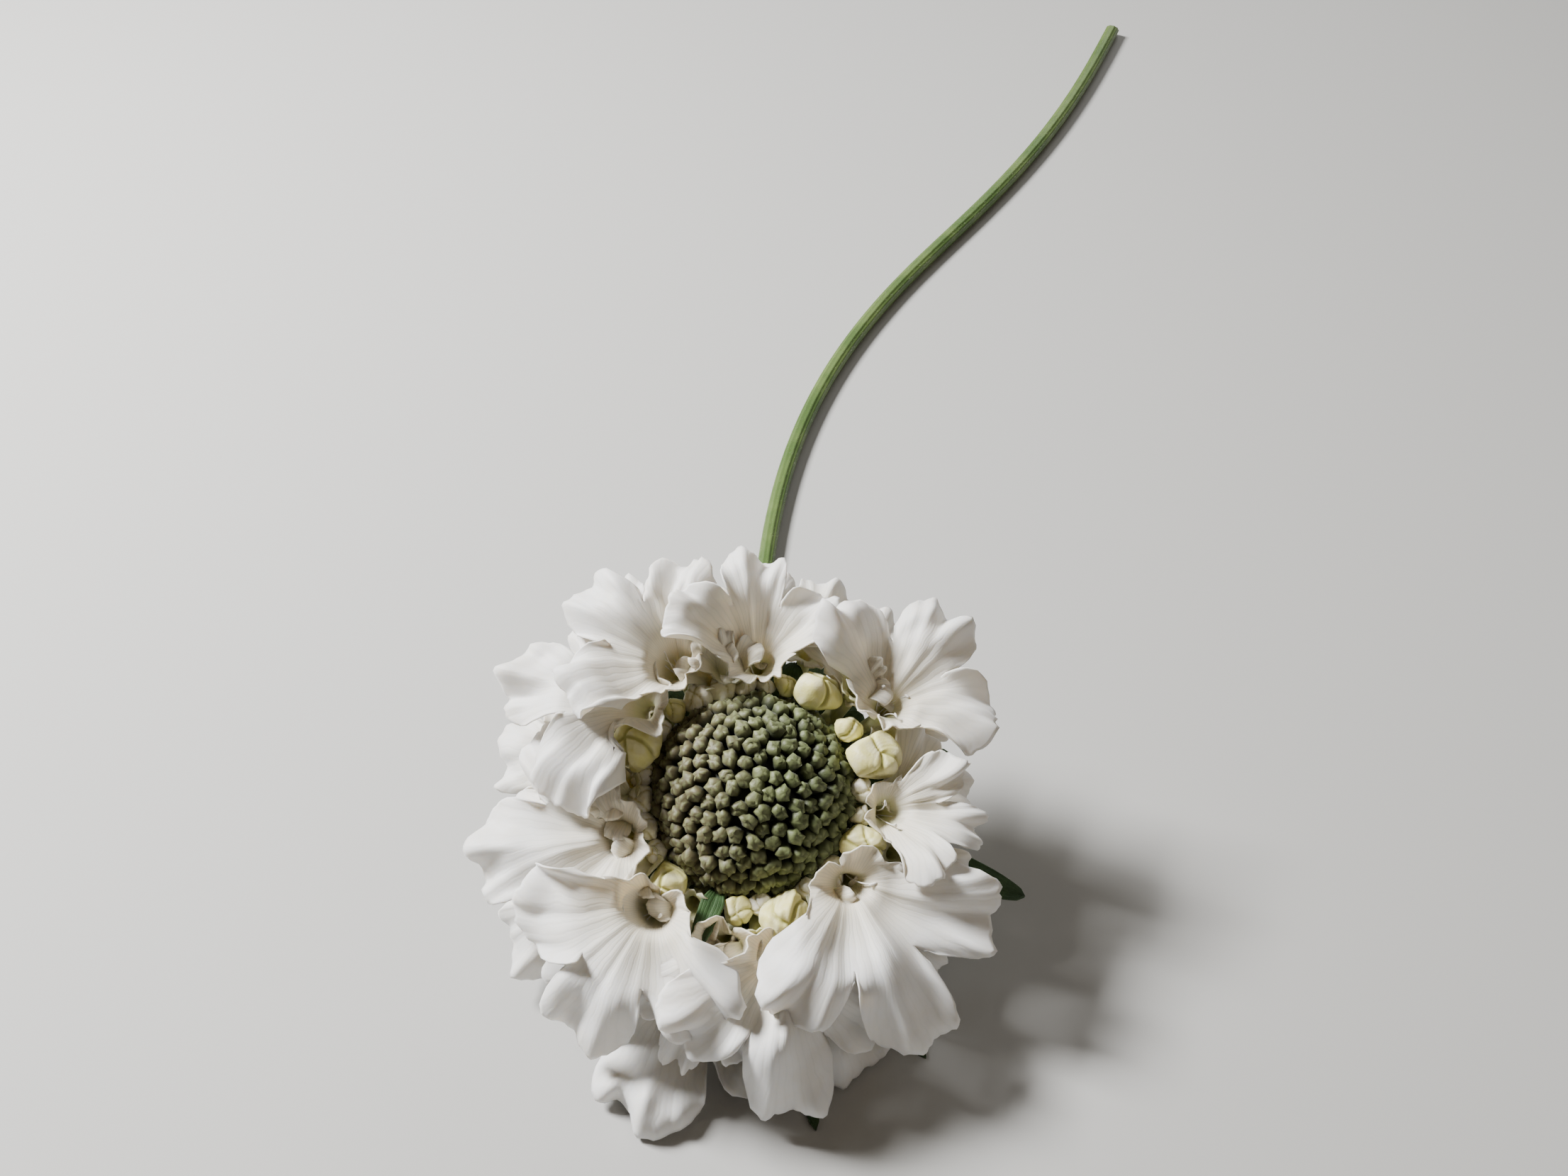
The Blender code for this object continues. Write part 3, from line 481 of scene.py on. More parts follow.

# %% [markdown]
# ## Putting a piece in its place
#
# A finished piece is one mesh with a material. It rides on the model's body. Most pieces stand for a
# plain solid too, which is hidden then. Several small meshes are joined first, so that the many petals of
# a ring are one piece.

# %% Finished pieces
def joined_mesh(name, meshes):
    """Several meshes as one, with their UV maps and materials."""
    bm = bmesh.new()
    for mesh in meshes:
        bm.from_mesh(mesh)
    made = bpy.data.meshes.new(name)
    bm.to_mesh(made)
    bm.free()
    for mesh in meshes:
        bpy.data.meshes.remove(mesh)
    return made


def put(name, mesh, material, node_name):
    """A finished piece, smooth and dressed, that rides on the model and stands for the solid named."""
    mesh.name = name
    if material:
        mesh.materials.clear()
        mesh.materials.append(material)
    mesh.shade_smooth()
    piece = new_object(name, mesh)
    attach(piece, "root")
    if node_name:
        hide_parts(node_name)
    mesh.calc_loop_triangles()
    print(name, len(mesh.loop_triangles), "triangles")
    return piece


# %% [markdown]
# ## Laying floret on floret
#
# Real petals rest on each other. Modelled one by one they would cut through their neighbours, and a cloth
# simulation of a whole head would be slow and hard to steer. A map of heights does it by rule instead:
# the head's plane is divided into small cells, each holds the highest thing so far, and every new blade
# is lifted just clear of what it covers.

# %% Height map
MAP_CELL = 0.75 * MM
MAP_COUNT = 177
LAYER_GAP = 1.0 * MM
PETAL_THICKNESS = 0.26 * MM


def cell(points):
    """The map's cell that each point lies in."""
    index = np.rint(points[..., :2] / MAP_CELL).astype(int) + MAP_COUNT // 2
    return tuple(np.moveaxis(np.clip(index, 0, MAP_COUNT - 1), -1, 0))


def filled(grid, steps=3):
    """The grid's points and those between them, close enough to reach every cell of the map."""
    for axis in (0, 1):
        low = np.take(grid, range(grid.shape[axis] - 1), axis)
        high = np.take(grid, range(1, grid.shape[axis]), axis)
        grid = np.concatenate([low + (high - low) * k / steps for k in range(steps + 1)], axis)
    return grid


cell_y = (np.arange(MAP_COUNT) - MAP_COUNT // 2) * MAP_CELL
resting = table_in_head(cell_y) + PETAL_THICKNESS / 2 / math.sin(FACE_UP)
heights = np.broadcast_to(resting - LAYER_GAP, (MAP_COUNT, MAP_COUNT)).copy()


def add_to_heights(grids):
    """Raise the map to the top of a blade that has been laid."""
    for points in map(filled, grids):
        np.maximum.at(heights, cell(points), points[..., 2])


print("map of", heights.shape, "cells over", round(MAP_COUNT * MAP_CELL / MM), "mm")

# %% [markdown]
# ## An even lift
#
# A blade that is lifted cell by cell would come out in steps. So the lift of each cell first becomes the
# most that any cell near it needs, then it is averaged over a small window three times, and last it is
# read between the middles of the cells. The blade drapes rather than jumps.

# %% Even lift
MOST_LIFT = 8 * MM
LIFT_REACH = 4
EVENING_REACH = 2
EVENING_ROUNDS = 3


def over_window(array, half, combine):
    """The array combined with itself shifted by up to half cells each way."""
    for axis in (0, 1):
        array = combine([np.roll(array, shift, axis) for shift in range(-half, half + 1)], axis=0)
    return array


def lift_over(grids):
    """The even rise, cell by cell, that carries a blade clear of what lies below it."""
    lowest = np.full_like(heights, np.inf)
    for points in map(filled, grids):
        np.minimum.at(lowest, cell(points), points[..., 2])
    lift = np.clip(heights + LAYER_GAP - lowest, 0, MOST_LIFT)
    lift = over_window(lift, LIFT_REACH, np.max)
    for _ in range(EVENING_ROUNDS):
        lift = over_window(lift, EVENING_REACH, np.mean)
    return lift


def value_at(values, points):
    """The map's value at each point, evened out between the middles of the cells."""
    place = points[..., :2] / MAP_CELL + MAP_COUNT // 2
    low = np.clip(np.floor(place).astype(int), 0, MAP_COUNT - 2)
    across, along = np.moveaxis(place - low, -1, 0)
    x, y = low[..., 0], low[..., 1]
    near = values[x, y] * (1 - across) + values[x + 1, y] * across
    far = values[x, y + 1] * (1 - across) + values[x + 1, y + 1] * across
    return near * (1 - along) + far * along


print("a lift reaches", round((LIFT_REACH + EVENING_ROUNDS * EVENING_REACH) * MAP_CELL / MM, 1), "mm around")

# %% [markdown]
# ## Resting on the table
#
# The head rests on its front petals and bracts. Cut off flat at the table they would look like paper
# under a knife, so a blade that reaches below it is bent up softly, and ends just above the surface.

# %% Soft landing
SOFT_LANDING = 1.2 * MM
TABLE_CLEARANCE = 0.05 * MM


def above_table(grid, thickness):
    """The grid bent up softly where its blade would reach below the table."""
    floor_height = table_in_head(grid[..., 1]) + (thickness / 2 + TABLE_CLEARANCE) / math.sin(FACE_UP)
    above = grid[..., 2] - floor_height
    grid[..., 2] = floor_height + 0.5 * (above + np.sqrt(above**2 + SOFT_LANDING**2))
    return grid


print("a blade on the table is bent over", SOFT_LANDING / MM, "mm")

# %% [markdown]
# ## Where the bracts stand
#
# Under the head the stem widens into a cup that carries a ring of dark green bracts, pointed blades of
# different lengths. The eleven long ones are those of the plain solids, and the tips of three reach out
# beyond the petals. Eleven short ones lie behind the white florets, three stand between the inner ones,
# and one narrow bract stands up at the disc's edge. They fill the gaps through which the table would
# show, as the small bracts between the florets do in a real head.

# %% Places of the bracts
# Each bract is (direction in degrees, length in mm, width in mm, rise in degrees).
BRACTS = [
    (14, 27, 6.2, 13), (47, 25, 5.0, 11), (83, 30, 5.4, 12), (118, 24, 5.0, 11), (152, 31, 5.6, 12),
    (184, 26, 5.2, 11), (216, 30, 5.0, 12), (249, 28, 5.6, 12), (281, 45, 5.2, 15), (304, 42, 5.0, 11),
    (341, 40, 7.0, 13),
]
SHORT_BRACT_DIRECTIONS = [30, 65, 100, 135, 168, 200, 232, 265, 293, 322, 358]
SHORT_BRACTS = [(direction, 18 + k % 3, 7.4, 11) for k, direction in enumerate(SHORT_BRACT_DIRECTIONS)]
INNER_BRACTS = [(38, 12.0, 6.4, 12), (73, 13.0, 6.4, 12), (129, 12.0, 6.4, 12)]
DISC_EDGE_BRACTS = [(251, 12.5, 3.8, 47)]
# Each tier has the place of its bracts' feet: distance from the head's axis and height, in mm.
BRACT_TIERS = [
    ((6.5, 2.0), BRACTS),
    ((7.4, 3.0), SHORT_BRACTS),
    ((10.6, 7.0), INNER_BRACTS),
    ((15.2, 12.4), DISC_EDGE_BRACTS),
]
UNDER_THE_PETALS = 5
BRACT_THICKNESS = 0.5 * MM
print("bracts:", sum(len(tier) for _, tier in BRACT_TIERS))

# %% [markdown]
# ## Bracts and cup
#
# A bract is folded a little along its midrib and its margins wave. Each could be sculpted, but one rule
# with a length, a width and a rise gives the same result and stays easy to change. The bracts under the
# petals go into the map of heights, so that the petals lie on them. The cup is a turned profile.

# %% Bracts and cup
BRACT_ARCH = math.radians(18)
MIDRIB_FOLD = 0.22
MARGIN_WAVE = 0.35 * MM
MIDRIB_GROOVE = 0.16 * MM
CUP_PROFILE = [(2.2, 0), (3.4, 0.3), (5.2, 1.0), (7.2, 1.9), (8.4, 2.7), (8.5, 3.4), (7.6, 4.0)]


def bract_grid(direction, length, width, rise, seed, foot):
    """Points of a green blade from its foot outwards, folded along its midrib, with wavy margins."""
    random = np.random.default_rng(seed)
    t, across = np.meshgrid(np.linspace(0, 1, 41), np.linspace(-1, 1, 15), indexing="ij")
    length, width = length * MM, width * MM
    outline = 0.5 * width * (0.5 + 0.5 * smooth(t / 0.4)) * np.sqrt(np.clip(1.0 - t**3, 0, 1))
    slope = math.radians(rise) + BRACT_ARCH * (0.3 - t)
    run = foot[0] * MM + length * t * np.cos(slope)
    climb = foot[1] * MM + length * t * np.sin(slope) + MIDRIB_FOLD * outline * np.abs(across)
    phase = random.uniform(0, 2 * math.pi, 2)
    wave = np.sin(9 * t + phase[0] + (across > 0) * phase[1])
    climb += MARGIN_WAVE * wave * across**2 * smooth(t / 0.3)
    climb -= MIDRIB_GROOVE * np.exp(-((across / 0.12) ** 2)) * (1 - t)
    side = outline * across
    a = math.radians(direction)
    cosine, sine = math.cos(a), math.sin(a)
    points = np.stack([run * cosine - side * sine, run * sine + side * cosine, climb], -1)
    return points, np.stack([(across + 1) / 2, t], -1)


blades = []
for foot, tier in BRACT_TIERS:
    for bract in tier:
        points, uv = bract_grid(*bract, len(blades), foot)
        if foot[1] < UNDER_THE_PETALS:
            add_to_heights([above_table(points, BRACT_THICKNESS)])
        blades.append(sheet_mesh("bract", [points], [uv], BRACT_THICKNESS, head_matrix))
cup = turned_mesh("cup", CUP_PROFILE, 48, head_matrix)
put("bracts_and_cup", joined_mesh("bracts_and_cup", [*blades, cup]), bract_skin, "involucre")

# %% [markdown]
# ## Where the white florets stand
#
# Each white floret is a tube that opens into five lobes. They stand in rings: eight large ones low down,
# eight a little higher in the gaps between those, ten on top that show best from the camera, and nine
# small ones close round the disc. Their places and tilts were set one by one, those on top against the
# photograph, because evenly spaced florets look as if a machine had made them.

# %% Places of the white florets
# Each floret is (direction, distance, height, length, spread, turn, rise, cup): its direction in degrees,
# the throat's distance from the axis and its height in mm, the length of its longest lobe in mm, the
# share of a full fan that its lobes spread over, and in degrees its turn to the side, the rise of its
# middle lobe above the throat's own lean, and the slope of the lobes beside that one.
LOWER_FLORETS = [
    (70, 24.5, 7.4, 16, 0.95, 0, 6, 16), (108, 24.5, 7.2, 16, 0.95, 12, 6, 14),
    (168, 25.0, 7.2, 20, 1.0, 2, 6, 16), (212, 25.5, 7.4, 22, 1.0, 2, 6, 18),
    (250, 26.0, 7.6, 29, 0.95, 2, 12, 18), (294, 25.5, 7.6, 22, 0.95, -8, 10, 18),
    (24, 23.0, 8.0, 13, 0.95, 0, 10, 18), (338, 23.5, 8.0, 15, 0.95, 0, 10, 18),
]
MIDDLE_FLORETS = [
    (47, 22.5, 9.8, 16, 1.0, 6, 16, 26), (90, 22.0, 9.8, 17, 1.0, -8, 16, 24),
    (140, 22.5, 9.6, 18, 1.0, 4, 16, 24), (190, 22.5, 9.8, 18, 1.0, -6, 16, 26),
    (231, 23.0, 9.8, 19, 1.0, 8, 16, 24), (272, 23.0, 9.8, 19, 1.0, 0, 14, 24),
    (316, 22.5, 9.8, 18, 1.0, -8, 14, 24), (1, 22.0, 10.0, 14, 1.0, 4, 14, 26),
]
UPPER_FLORETS = [
    (200, 20.0, 12.2, 27, 1.1, -13, 26, 32), (262, 22.5, 12.4, 22, 0.6, -16, 28, 46),
    (141, 20.5, 12.6, 26, 1.05, 27, 30, 32), (230, 22.5, 12.4, 26, 1.05, 10, 28, 32),
    (121, 22.0, 13.2, 23, 0.95, 21, 32, 36), (281, 24.0, 12.4, 26, 0.95, -8, 26, 36),
    (88, 19.5, 12.8, 21, 1.05, 4, 34, 42), (318, 19.5, 12.6, 30, 0.92, -24, 28, 42),
    (32, 24.0, 12.6, 22, 1.1, 22, 30, 32), (352, 20.0, 12.0, 18, 0.85, -4, 34, 54),
]
INNER_FLORETS = [
    (101, 18.8, 14.0, 8, 1.0, 0, 48, 46), (177, 18.8, 13.6, 8, 1.0, 0, 46, 44),
    (242, 19.0, 13.6, 8, 1.0, 0, 50, 46), (45, 22.6, 13.6, 7, 1.0, 0, 50, 46),
    (110, 18.8, 14.0, 7, 1.0, 0, 52, 48), (187, 18.6, 13.4, 7, 1.0, 0, 50, 46),
    (214, 18.6, 13.6, 7, 1.0, 0, 54, 48), (272, 22.4, 13.6, 7, 1.0, 0, 50, 46),
    (301, 18.8, 13.4, 7, 1.0, 0, 54, 48),
]
RAY_FLORETS = LOWER_FLORETS + UPPER_FLORETS + INNER_FLORETS
print(len(RAY_FLORETS) + len(MIDDLE_FLORETS), "white florets")

# %% [markdown]
# ## The plan of one floret
#
# Before any point is made, each floret gets its own small frame at the throat, which leans outwards, and
# its own random phases for every wave and crumple to come. The phases come from a seed of the floret's
# own, so a floret keeps its folds when another is moved, and the head is the same each time the lesson is
# run.

# %% Plan of a floret
# Each lobe is (direction round the throat, half its width in degrees, share of the floret's length, share
# of the ruffle, columns of points). The three large outer ones stand at 0, 66 and 294 degrees.
LOBES = [
    (0, 33, 1.0, 1.0, 34), (66, 33, 0.84, 1.0, 34), (140, 41, 0.28, 0.4, 12), (221, 40, 0.26, 0.4, 12),
    (294, 33, 0.84, 1.0, 34),
]
LEAN = math.radians(34)
ROOT_DISTANCE = 9.5
FULL_LENGTH = 24
INNER_LOBE_SLOPE = 16
CRUMPLES = 7
UPWARD = np.array([0.0, 0.0, 1.0])


def flat_arrow(angle):
    """An arrow of length one in the head's plane."""
    return np.array([math.cos(angle), math.sin(angle), 0.0])


class Floret:
    """The plan of a white floret: its throat and root, its own axes, its slopes and its random phases."""

    def __init__(self, seed, root, foot, direction, distance, height, length, spread, turn, rise, cup):
        random = np.random.default_rng(seed)
        outward = flat_arrow(math.radians(direction + turn))
        self.away = flat_arrow(math.radians(direction))
        self.root = (flat_arrow(root) * ROOT_DISTANCE + UPWARD * foot) * MM
        self.throat = self.away * distance * MM + UPWARD * height * MM
        self.axis = UPWARD * math.cos(LEAN) + outward * math.sin(LEAN)
        self.out = outward * math.cos(LEAN) - UPWARD * math.sin(LEAN)
        self.side = np.cross(self.axis, self.out)
        self.distance, self.length, self.spread = distance * MM, length * MM, spread
        self.size = min(length / FULL_LENGTH, 1)
        self.slopes = [math.degrees(LEAN) + rise, cup, INNER_LOBE_SLOPE, INNER_LOBE_SLOPE, cup]
        self.fold_phases = random.uniform(0, 2 * math.pi, 2)
        self.wave_phases = random.uniform(0, 2 * math.pi, (len(LOBES), 2))
        self.bows = random.uniform(-1, 1, len(LOBES))
        self.fine_phases = random.uniform(0, 2 * math.pi, (len(LOBES), 6))
        self.dents = random.normal(0, 1, (CRUMPLES, 2)) / MM * np.linspace(0.28, 0.85, CRUMPLES)[:, None]
        self.starts = random.uniform(0, 2 * math.pi, CRUMPLES)


print("a floret has", sum(lobe[4] for lobe in LOBES), "columns of points")

# %% [markdown]
# ## The curve of a lobe
#
# Seen from the side, a lobe leaves the throat steeply, flares outwards within the first quarter of its
# length and then curls down. The side view is one curve, walked in twelve short steps, and its slope
# changes evenly round the throat, so neighbouring lobes run into each other near it without a seam.

# %% Side view of the lobes
FLARE = math.radians(83)
FLARE_END = 0.26
CURL = math.radians(80)
CURL_START = 0.35
PROFILE_STEPS = 12


def around(degrees, values):
    """An even curve round the throat through one value for each lobe."""
    at = np.array([lobe[0] for lobe in LOBES] + [360], float)
    values = np.array([*values, values[0]], float)
    degrees = degrees % 360
    low = np.clip(np.searchsorted(at, degrees, "right") - 1, 0, len(at) - 2)
    share = smooth((degrees - at[low]) / (at[low + 1] - at[low]))
    return values[low] * (1 - share) + values[low + 1] * share


def fanned(floret, degrees):
    """Directions round the throat, drawn towards the outer lobe in a narrow floret."""
    signed = (degrees + 180) % 360 - 180
    return np.radians(signed * (floret.spread + (1 - floret.spread) * (signed / 180) ** 2))


def side_view(floret, degrees, path):
    """(distance from the throat, height over it, slope) at a path length up the lobe."""
    slope = np.radians(around(degrees, floret.slopes))
    along, height = np.zeros_like(path), np.zeros_like(path)
    for k in range(PROFILE_STEPS):
        q = (k + 0.5) / PROFILE_STEPS * path / floret.length
        angle = slope + (FLARE - slope) * np.clip(1 - q / FLARE_END, 0, 1) ** 2
        angle = angle - CURL * np.clip((q - CURL_START) / (1 - CURL_START), 0, 1) ** 1.5
        along += np.cos(angle) * path / PROFILE_STEPS
        height += np.sin(angle) * path / PROFILE_STEPS
    return along, height, angle


print("slope between the outer lobes:", round(float(around(33.0, [46, 32, 16, 16, 32])), 1), "degrees")

# %% [markdown]
# ## Ruffles, frills, folds and crumples
#
# What makes a petal look like one is how it leaves its plain curve. Large ruffles and a fine frill grow
# towards the free margin. Soft folds run out from the throat, and small dents cross them, as in thin
# tissue that was folded up in the bud. All are sines with the floret's own phases, which cost little and
# never repeat from floret to floret. Dents and folds are the same on both sides of a joint, so the lobes
# stay one sheet.

# %% Relief of a lobe
NOTCH = 0.55
RUFFLE = 2.4 * MM
FRILL = 0.36 * MM
CRUMPLE = 0.42 * MM
FOLD = 0.85 * MM
LOBE_RUFFLES = [lobe[3] for lobe in LOBES]
LOBE_FOLDS = [1, 1, 0.2, 0.2, 1]


def crumpled(floret, spoke_angle, along):
    """Small dents that run on from lobe to lobe."""
    flat = np.stack([along * np.cos(spoke_angle), along * np.sin(spoke_angle)], -1)
    dents = np.sin(flat @ floret.dents.T + floret.starts) / (1 + 0.5 * np.arange(CRUMPLES))
    return CRUMPLE * floret.size * dents.sum(-1)


def relief(floret, number, u, s, free, joined, spoke_angle, along):
    """How far each point of a lobe stands out from its plain curve."""
    p, f = floret.wave_phases[number], floret.fine_phases[number]
    wave = np.sin(2.1 * math.pi * u + 1.5 * s + p[0]) + 0.35 * np.sin(3.4 * math.pi * u + p[1])
    bow = floret.bows[number] * (u * u - 0.4)
    push = smooth(free) * LOBE_RUFFLES[number] * RUFFLE * floret.size * (0.55 * wave + 0.5 * bow)
    frill = np.sin(11 * u + f[3] + 2 * s) + 0.6 * np.sin(23 * u + f[4])
    push += free**1.5 * LOBE_RUFFLES[number] * FRILL * floret.size * frill
    push += crumpled(floret, spoke_angle, along) * smooth(s / NOTCH) * around(joined, LOBE_RUFFLES)
    turns = np.radians(joined)
    folds = np.sin(3 * turns + floret.fold_phases[0]) + 0.7 * np.sin(5 * turns + floret.fold_phases[1])
    pleats = 0.12 * np.sin(17 * turns + floret.starts[0]) + 0.05 * np.sin(29 * turns + floret.starts[1])
    fold_depth = FOLD * floret.size * smooth(s / NOTCH) * (1 - 0.4 * free) * around(joined, LOBE_FOLDS)
    return push + fold_depth * (folds + pleats)


print("the lobes part at", NOTCH, "of their length")

# %% [markdown]
# ## From formula to points
#
# The lobes are joined up to a notch and free beyond it, with a narrow slit between them. A grid of points
# is laid over each lobe, across it and from the throat to the margin, whose fine teeth come from three
# waves that don't keep step. One formula for thirty-five florets is far quicker than sculpting them, and
# repeats exactly.

# %% Points of the lobes
JOINED_ROWS = 15
FREE_ROWS = 17
SMALL_FLORET = 12 * MM
SLIT = 0.03
THROAT_RADIUS = 1.1 * MM
UV_LENGTH = 30 * MM
LOBE_SHARES = [lobe[2] for lobe in LOBES]
TEETH = [(0.4, 5.5), (0.35, 14), (0.25, 23)]


def margin(floret, number, u):
    """The fine, irregular teeth of a lobe's margin, as a share of its length."""
    p = floret.fine_phases[number]
    teeth = sum(share * np.abs(np.sin(rate * u + p[k])) for k, (share, rate) in enumerate(TEETH, 1)) - 0.64
    return 1 + 0.018 * np.sin(6 * u + p[0]) + 0.05 * teeth


def lobe_points(floret, number, u, s):
    """Points and UV of one lobe: u across it from -1 to 1, s from the throat at 0 to the margin at 1."""
    middle, half, share = LOBES[number][:3]
    free = np.clip((s - NOTCH) / (1 - NOTCH), 0, 1)
    joined = middle + half * u
    spoke_angle = fanned(floret, middle + half * u * (1 - SLIT * smooth(free)))
    joined_length = NOTCH * around(joined, LOBE_SHARES) * floret.length
    whole = share * floret.length * (1 - 0.36 * np.abs(u) ** 3.4) * margin(floret, number, u)
    whole = np.maximum(whole, joined_length * 1.12)
    path = np.minimum(s / NOTCH, 1) * joined_length + free * (whole - joined_length)
    along, height, angle = side_view(floret, joined, path)
    spoke = np.cos(spoke_angle)[..., None] * floret.out + np.sin(spoke_angle)[..., None] * floret.side
    points = floret.throat + spoke * (THROAT_RADIUS + along)[..., None] + floret.axis * height[..., None]
    normal = floret.axis * np.cos(angle)[..., None] - spoke * np.sin(angle)[..., None]
    push = relief(floret, number, u, s, free, joined, spoke_angle, along)
    return points + normal * push[..., None], np.stack([joined / 360, path / UV_LENGTH], -1)


tooth_height = 0.05 * sum(share for share, _ in TEETH)
print("teeth are up to", round(100 * tooth_height, 1), "% of a lobe high")


# %% Grids of the lobes
def lobe_grids(floret):
    """A grid of points and one of UV places for each lobe, meeting its neighbours' up to the notch."""
    coarse = 2 if floret.length < SMALL_FLORET else 1
    joined, free = np.linspace(0, NOTCH, JOINED_ROWS), np.linspace(NOTCH, 1, FREE_ROWS)
    s = np.concatenate([joined[::coarse], free[::coarse][1:]])
    grids, uvs = [], []
    for number, lobe in enumerate(LOBES):
        columns = lobe[4] // coarse
        along, across = np.meshgrid(s, np.linspace(-1, 1, columns + 1), indexing="ij")
        points, uv = lobe_points(floret, number, across, along)
        grids.append(points)
        uvs.append(uv)
    return grids, uvs


print("a large lobe has", JOINED_ROWS + FREE_ROWS - 1, "rows of points")

# %% [markdown]
# ## The tube of a floret
#
# Below the throat every floret narrows to a tube that bends down to the knob under the disc. It shows
# only between the petals, so six rings are enough. The throat's own ring of points is carried down the
# path and turned to face along it, which keeps the tube and the lobes one sheet.

# %% Tube
TUBE_ROWS = 6
TUBE_TOP = 1.2 * MM
KNEE_INWARD = 5.5 * MM


def tube_grid(floret, ring):
    """A grid down the tube, from the throat's ring of points to the knob under the disc."""
    knee_z = 0.87 * floret.root[2] + 0.13 * floret.throat[2]
    knee = floret.away * (floret.distance - KNEE_INWARD) + np.array([0, 0, knee_z])
    path = [floret.throat, floret.throat - floret.axis * TUBE_TOP, knee, floret.root]
    last = len(path) - 1
    spokes = (ring - floret.throat) / THROAT_RADIUS
    rows = [ring]
    for k in range(1, TUBE_ROWS + 1):
        t = k / TUBE_ROWS * last
        low = min(int(t), last - 1)
        t -= low
        centre = path[low] * (1 - t) + path[low + 1] * t
        heading = Vector(path[max(low - 1, 0)] - path[min(low + 2, last)])
        turn = np.array(Vector(floret.axis).rotation_difference(heading).to_matrix())
        rows.append(centre + spokes @ turn.T * (1.15 - 0.2 * k / TUBE_ROWS) * MM)
    return np.stack(rows)


print("a tube has", TUBE_ROWS, "rings under the throat")

# %% [markdown]
# ## Keeping clear of the disc and the shut florets
#
# The small inner lobes lean towards the disc and would cut into it. Each point that comes too near the
# disc or a shut floret is moved straight out from the head's axis until it is clear, which bends the lobe
# round them as in the real head. So the places of the shut florets are needed here already.

# %% Clear of the disc
# Each bud is (direction in degrees, then distance from the axis, height and radius in mm).
CREAM_BUDS = [
    (16, 19.6, 15.0, 3.8), (34, 18.4, 14.2, 2.1), (57, 19.2, 14.6, 3.4), (73, 18.2, 13.8, 1.9),
    (133, 18.2, 14.0, 2.0), (158, 19.6, 15.0, 3.7), (227, 19.0, 14.4, 2.9), (263, 18.2, 14.0, 2.0),
    (286, 19.6, 15.0, 3.7), (334, 19.0, 14.6, 3.1),
]
DISC_EDGE = 16.4 * MM
BUD_CLEARANCE = 0.5


def clear_of_cream(points):
    """The points moved straight out from the axis until they are clear of disc and cream buds."""
    points = points.copy()
    distance = np.hypot(points[..., 0], points[..., 1])
    away = points[..., :2] / distance[..., None]
    points[..., :2] += away * np.maximum(DISC_EDGE - distance, 0)[..., None]
    for direction, bud_distance, height, radius in CREAM_BUDS:
        a = math.radians(direction)
        centre = np.array([bud_distance * math.cos(a), bud_distance * math.sin(a), height]) * MM
        apart = points - centre
        outward = (apart[..., :2] * away).sum(-1)
        inside = ((radius + BUD_CLEARANCE) * MM) ** 2 - (apart**2).sum(-1)
        move = np.where(inside > 0, np.sqrt(np.maximum(outward**2 + inside, 0)) - outward, 0)
        points[..., :2] += away * move[..., None]
    return points


print(len(CREAM_BUDS), "cream buds to keep clear of")

# %% [markdown]
# ## Laying the white florets
#
# The rings are laid from the lowest up, floret by floret, each over all that lies below it so far. The
# throat stays where the plan has it and the lift grows over the first few millimetres of the lobes, so a
# floret bends over its neighbour instead of floating above it.

# %% Lay the white florets
FIRST_SEED = 98
MIDDLE_SEED = FIRST_SEED + 60
FIRST_ROOT = math.radians(15)
ROOT_HEIGHT = 6.2
MIDDLE_ROOT_HEIGHT = 8.4
SMALL_LIFT = 0.3
LIFT_START, LIFT_RUN = 2 * MM, 4 * MM

order = sorted(spec[0] for spec in RAY_FLORETS)
florets = []
for number, spec in enumerate(RAY_FLORETS):
    root = FIRST_ROOT + 2 * math.pi * order.index(spec[0]) / len(order)
    florets.append(Floret(FIRST_SEED + number, root, ROOT_HEIGHT, *spec))
between = [
    Floret(MIDDLE_SEED + number, math.radians(spec[0]), MIDDLE_ROOT_HEIGHT, *spec)
    for number, spec in enumerate(MIDDLE_FLORETS)
]
lower, rest = florets[: len(LOWER_FLORETS)], florets[len(LOWER_FLORETS) :]
upper, inner = rest[: len(UPPER_FLORETS)], rest[len(UPPER_FLORETS) :]
print(len(florets) + len(between), "florets planned")


# %% Drape the rings
def with_tube(floret, grids, uvs):
    """The lobes' grids and UV places with those of the tube below them."""
    ring = np.concatenate([grid[0][:-1] for grid in grids] + [grids[0][0][:1]])
    ring_u = np.concatenate([uv[0][:-1, 0] for uv in uvs] + [uvs[0][0][:1, 0]])
    tube = tube_grid(floret, ring)
    tube_uv = np.stack([np.broadcast_to(ring_u, tube.shape[:2]), np.zeros(tube.shape[:2])], -1)
    return [*grids, tube[::-1]], [*uvs, tube_uv[::-1]]


def draped(name, ring_of_florets):
    """The florets of one ring, each laid over all that lies below it so far, as one mesh."""
    meshes = []
    for floret in ring_of_florets:
        grids, uvs = lobe_grids(floret)
        grids = [clear_of_cream(grid) for grid in grids]
        lift = lift_over(grids) * (SMALL_LIFT if floret.length < SMALL_FLORET else 1)
        for grid in grids:
            distance = np.linalg.norm(grid[..., :2] - floret.throat[:2], axis=-1)
            grid[..., 2] += value_at(lift, grid) * smooth((distance - LIFT_START) / LIFT_RUN)
            above_table(grid, PETAL_THICKNESS)
        add_to_heights(grids)
        meshes.append(sheet_mesh(name, *with_tube(floret, grids, uvs), PETAL_THICKNESS, head_matrix))
    return joined_mesh(name, meshes)


rings = {"lower_florets": lower, "middle_florets": between, "upper_florets": upper, "inner_florets": inner}
for name, ring_of_florets in rings.items():
    put(name, draped(name, ring_of_florets), petal_tissue, "ray_florets")

# %% [markdown]
# ## Tools for Geometry Nodes
#
# What repeats by a rule, such as stamens, buds and hairs, is made by Geometry Nodes: points say where,
# and the tree sets a small shape on every point. The tools here start such a tree, set the shape on the
# points, turned a little at random, give it a material, and turn the result into a plain mesh. A tree's
# inputs are set by their identifiers, because two of them may carry the same name.

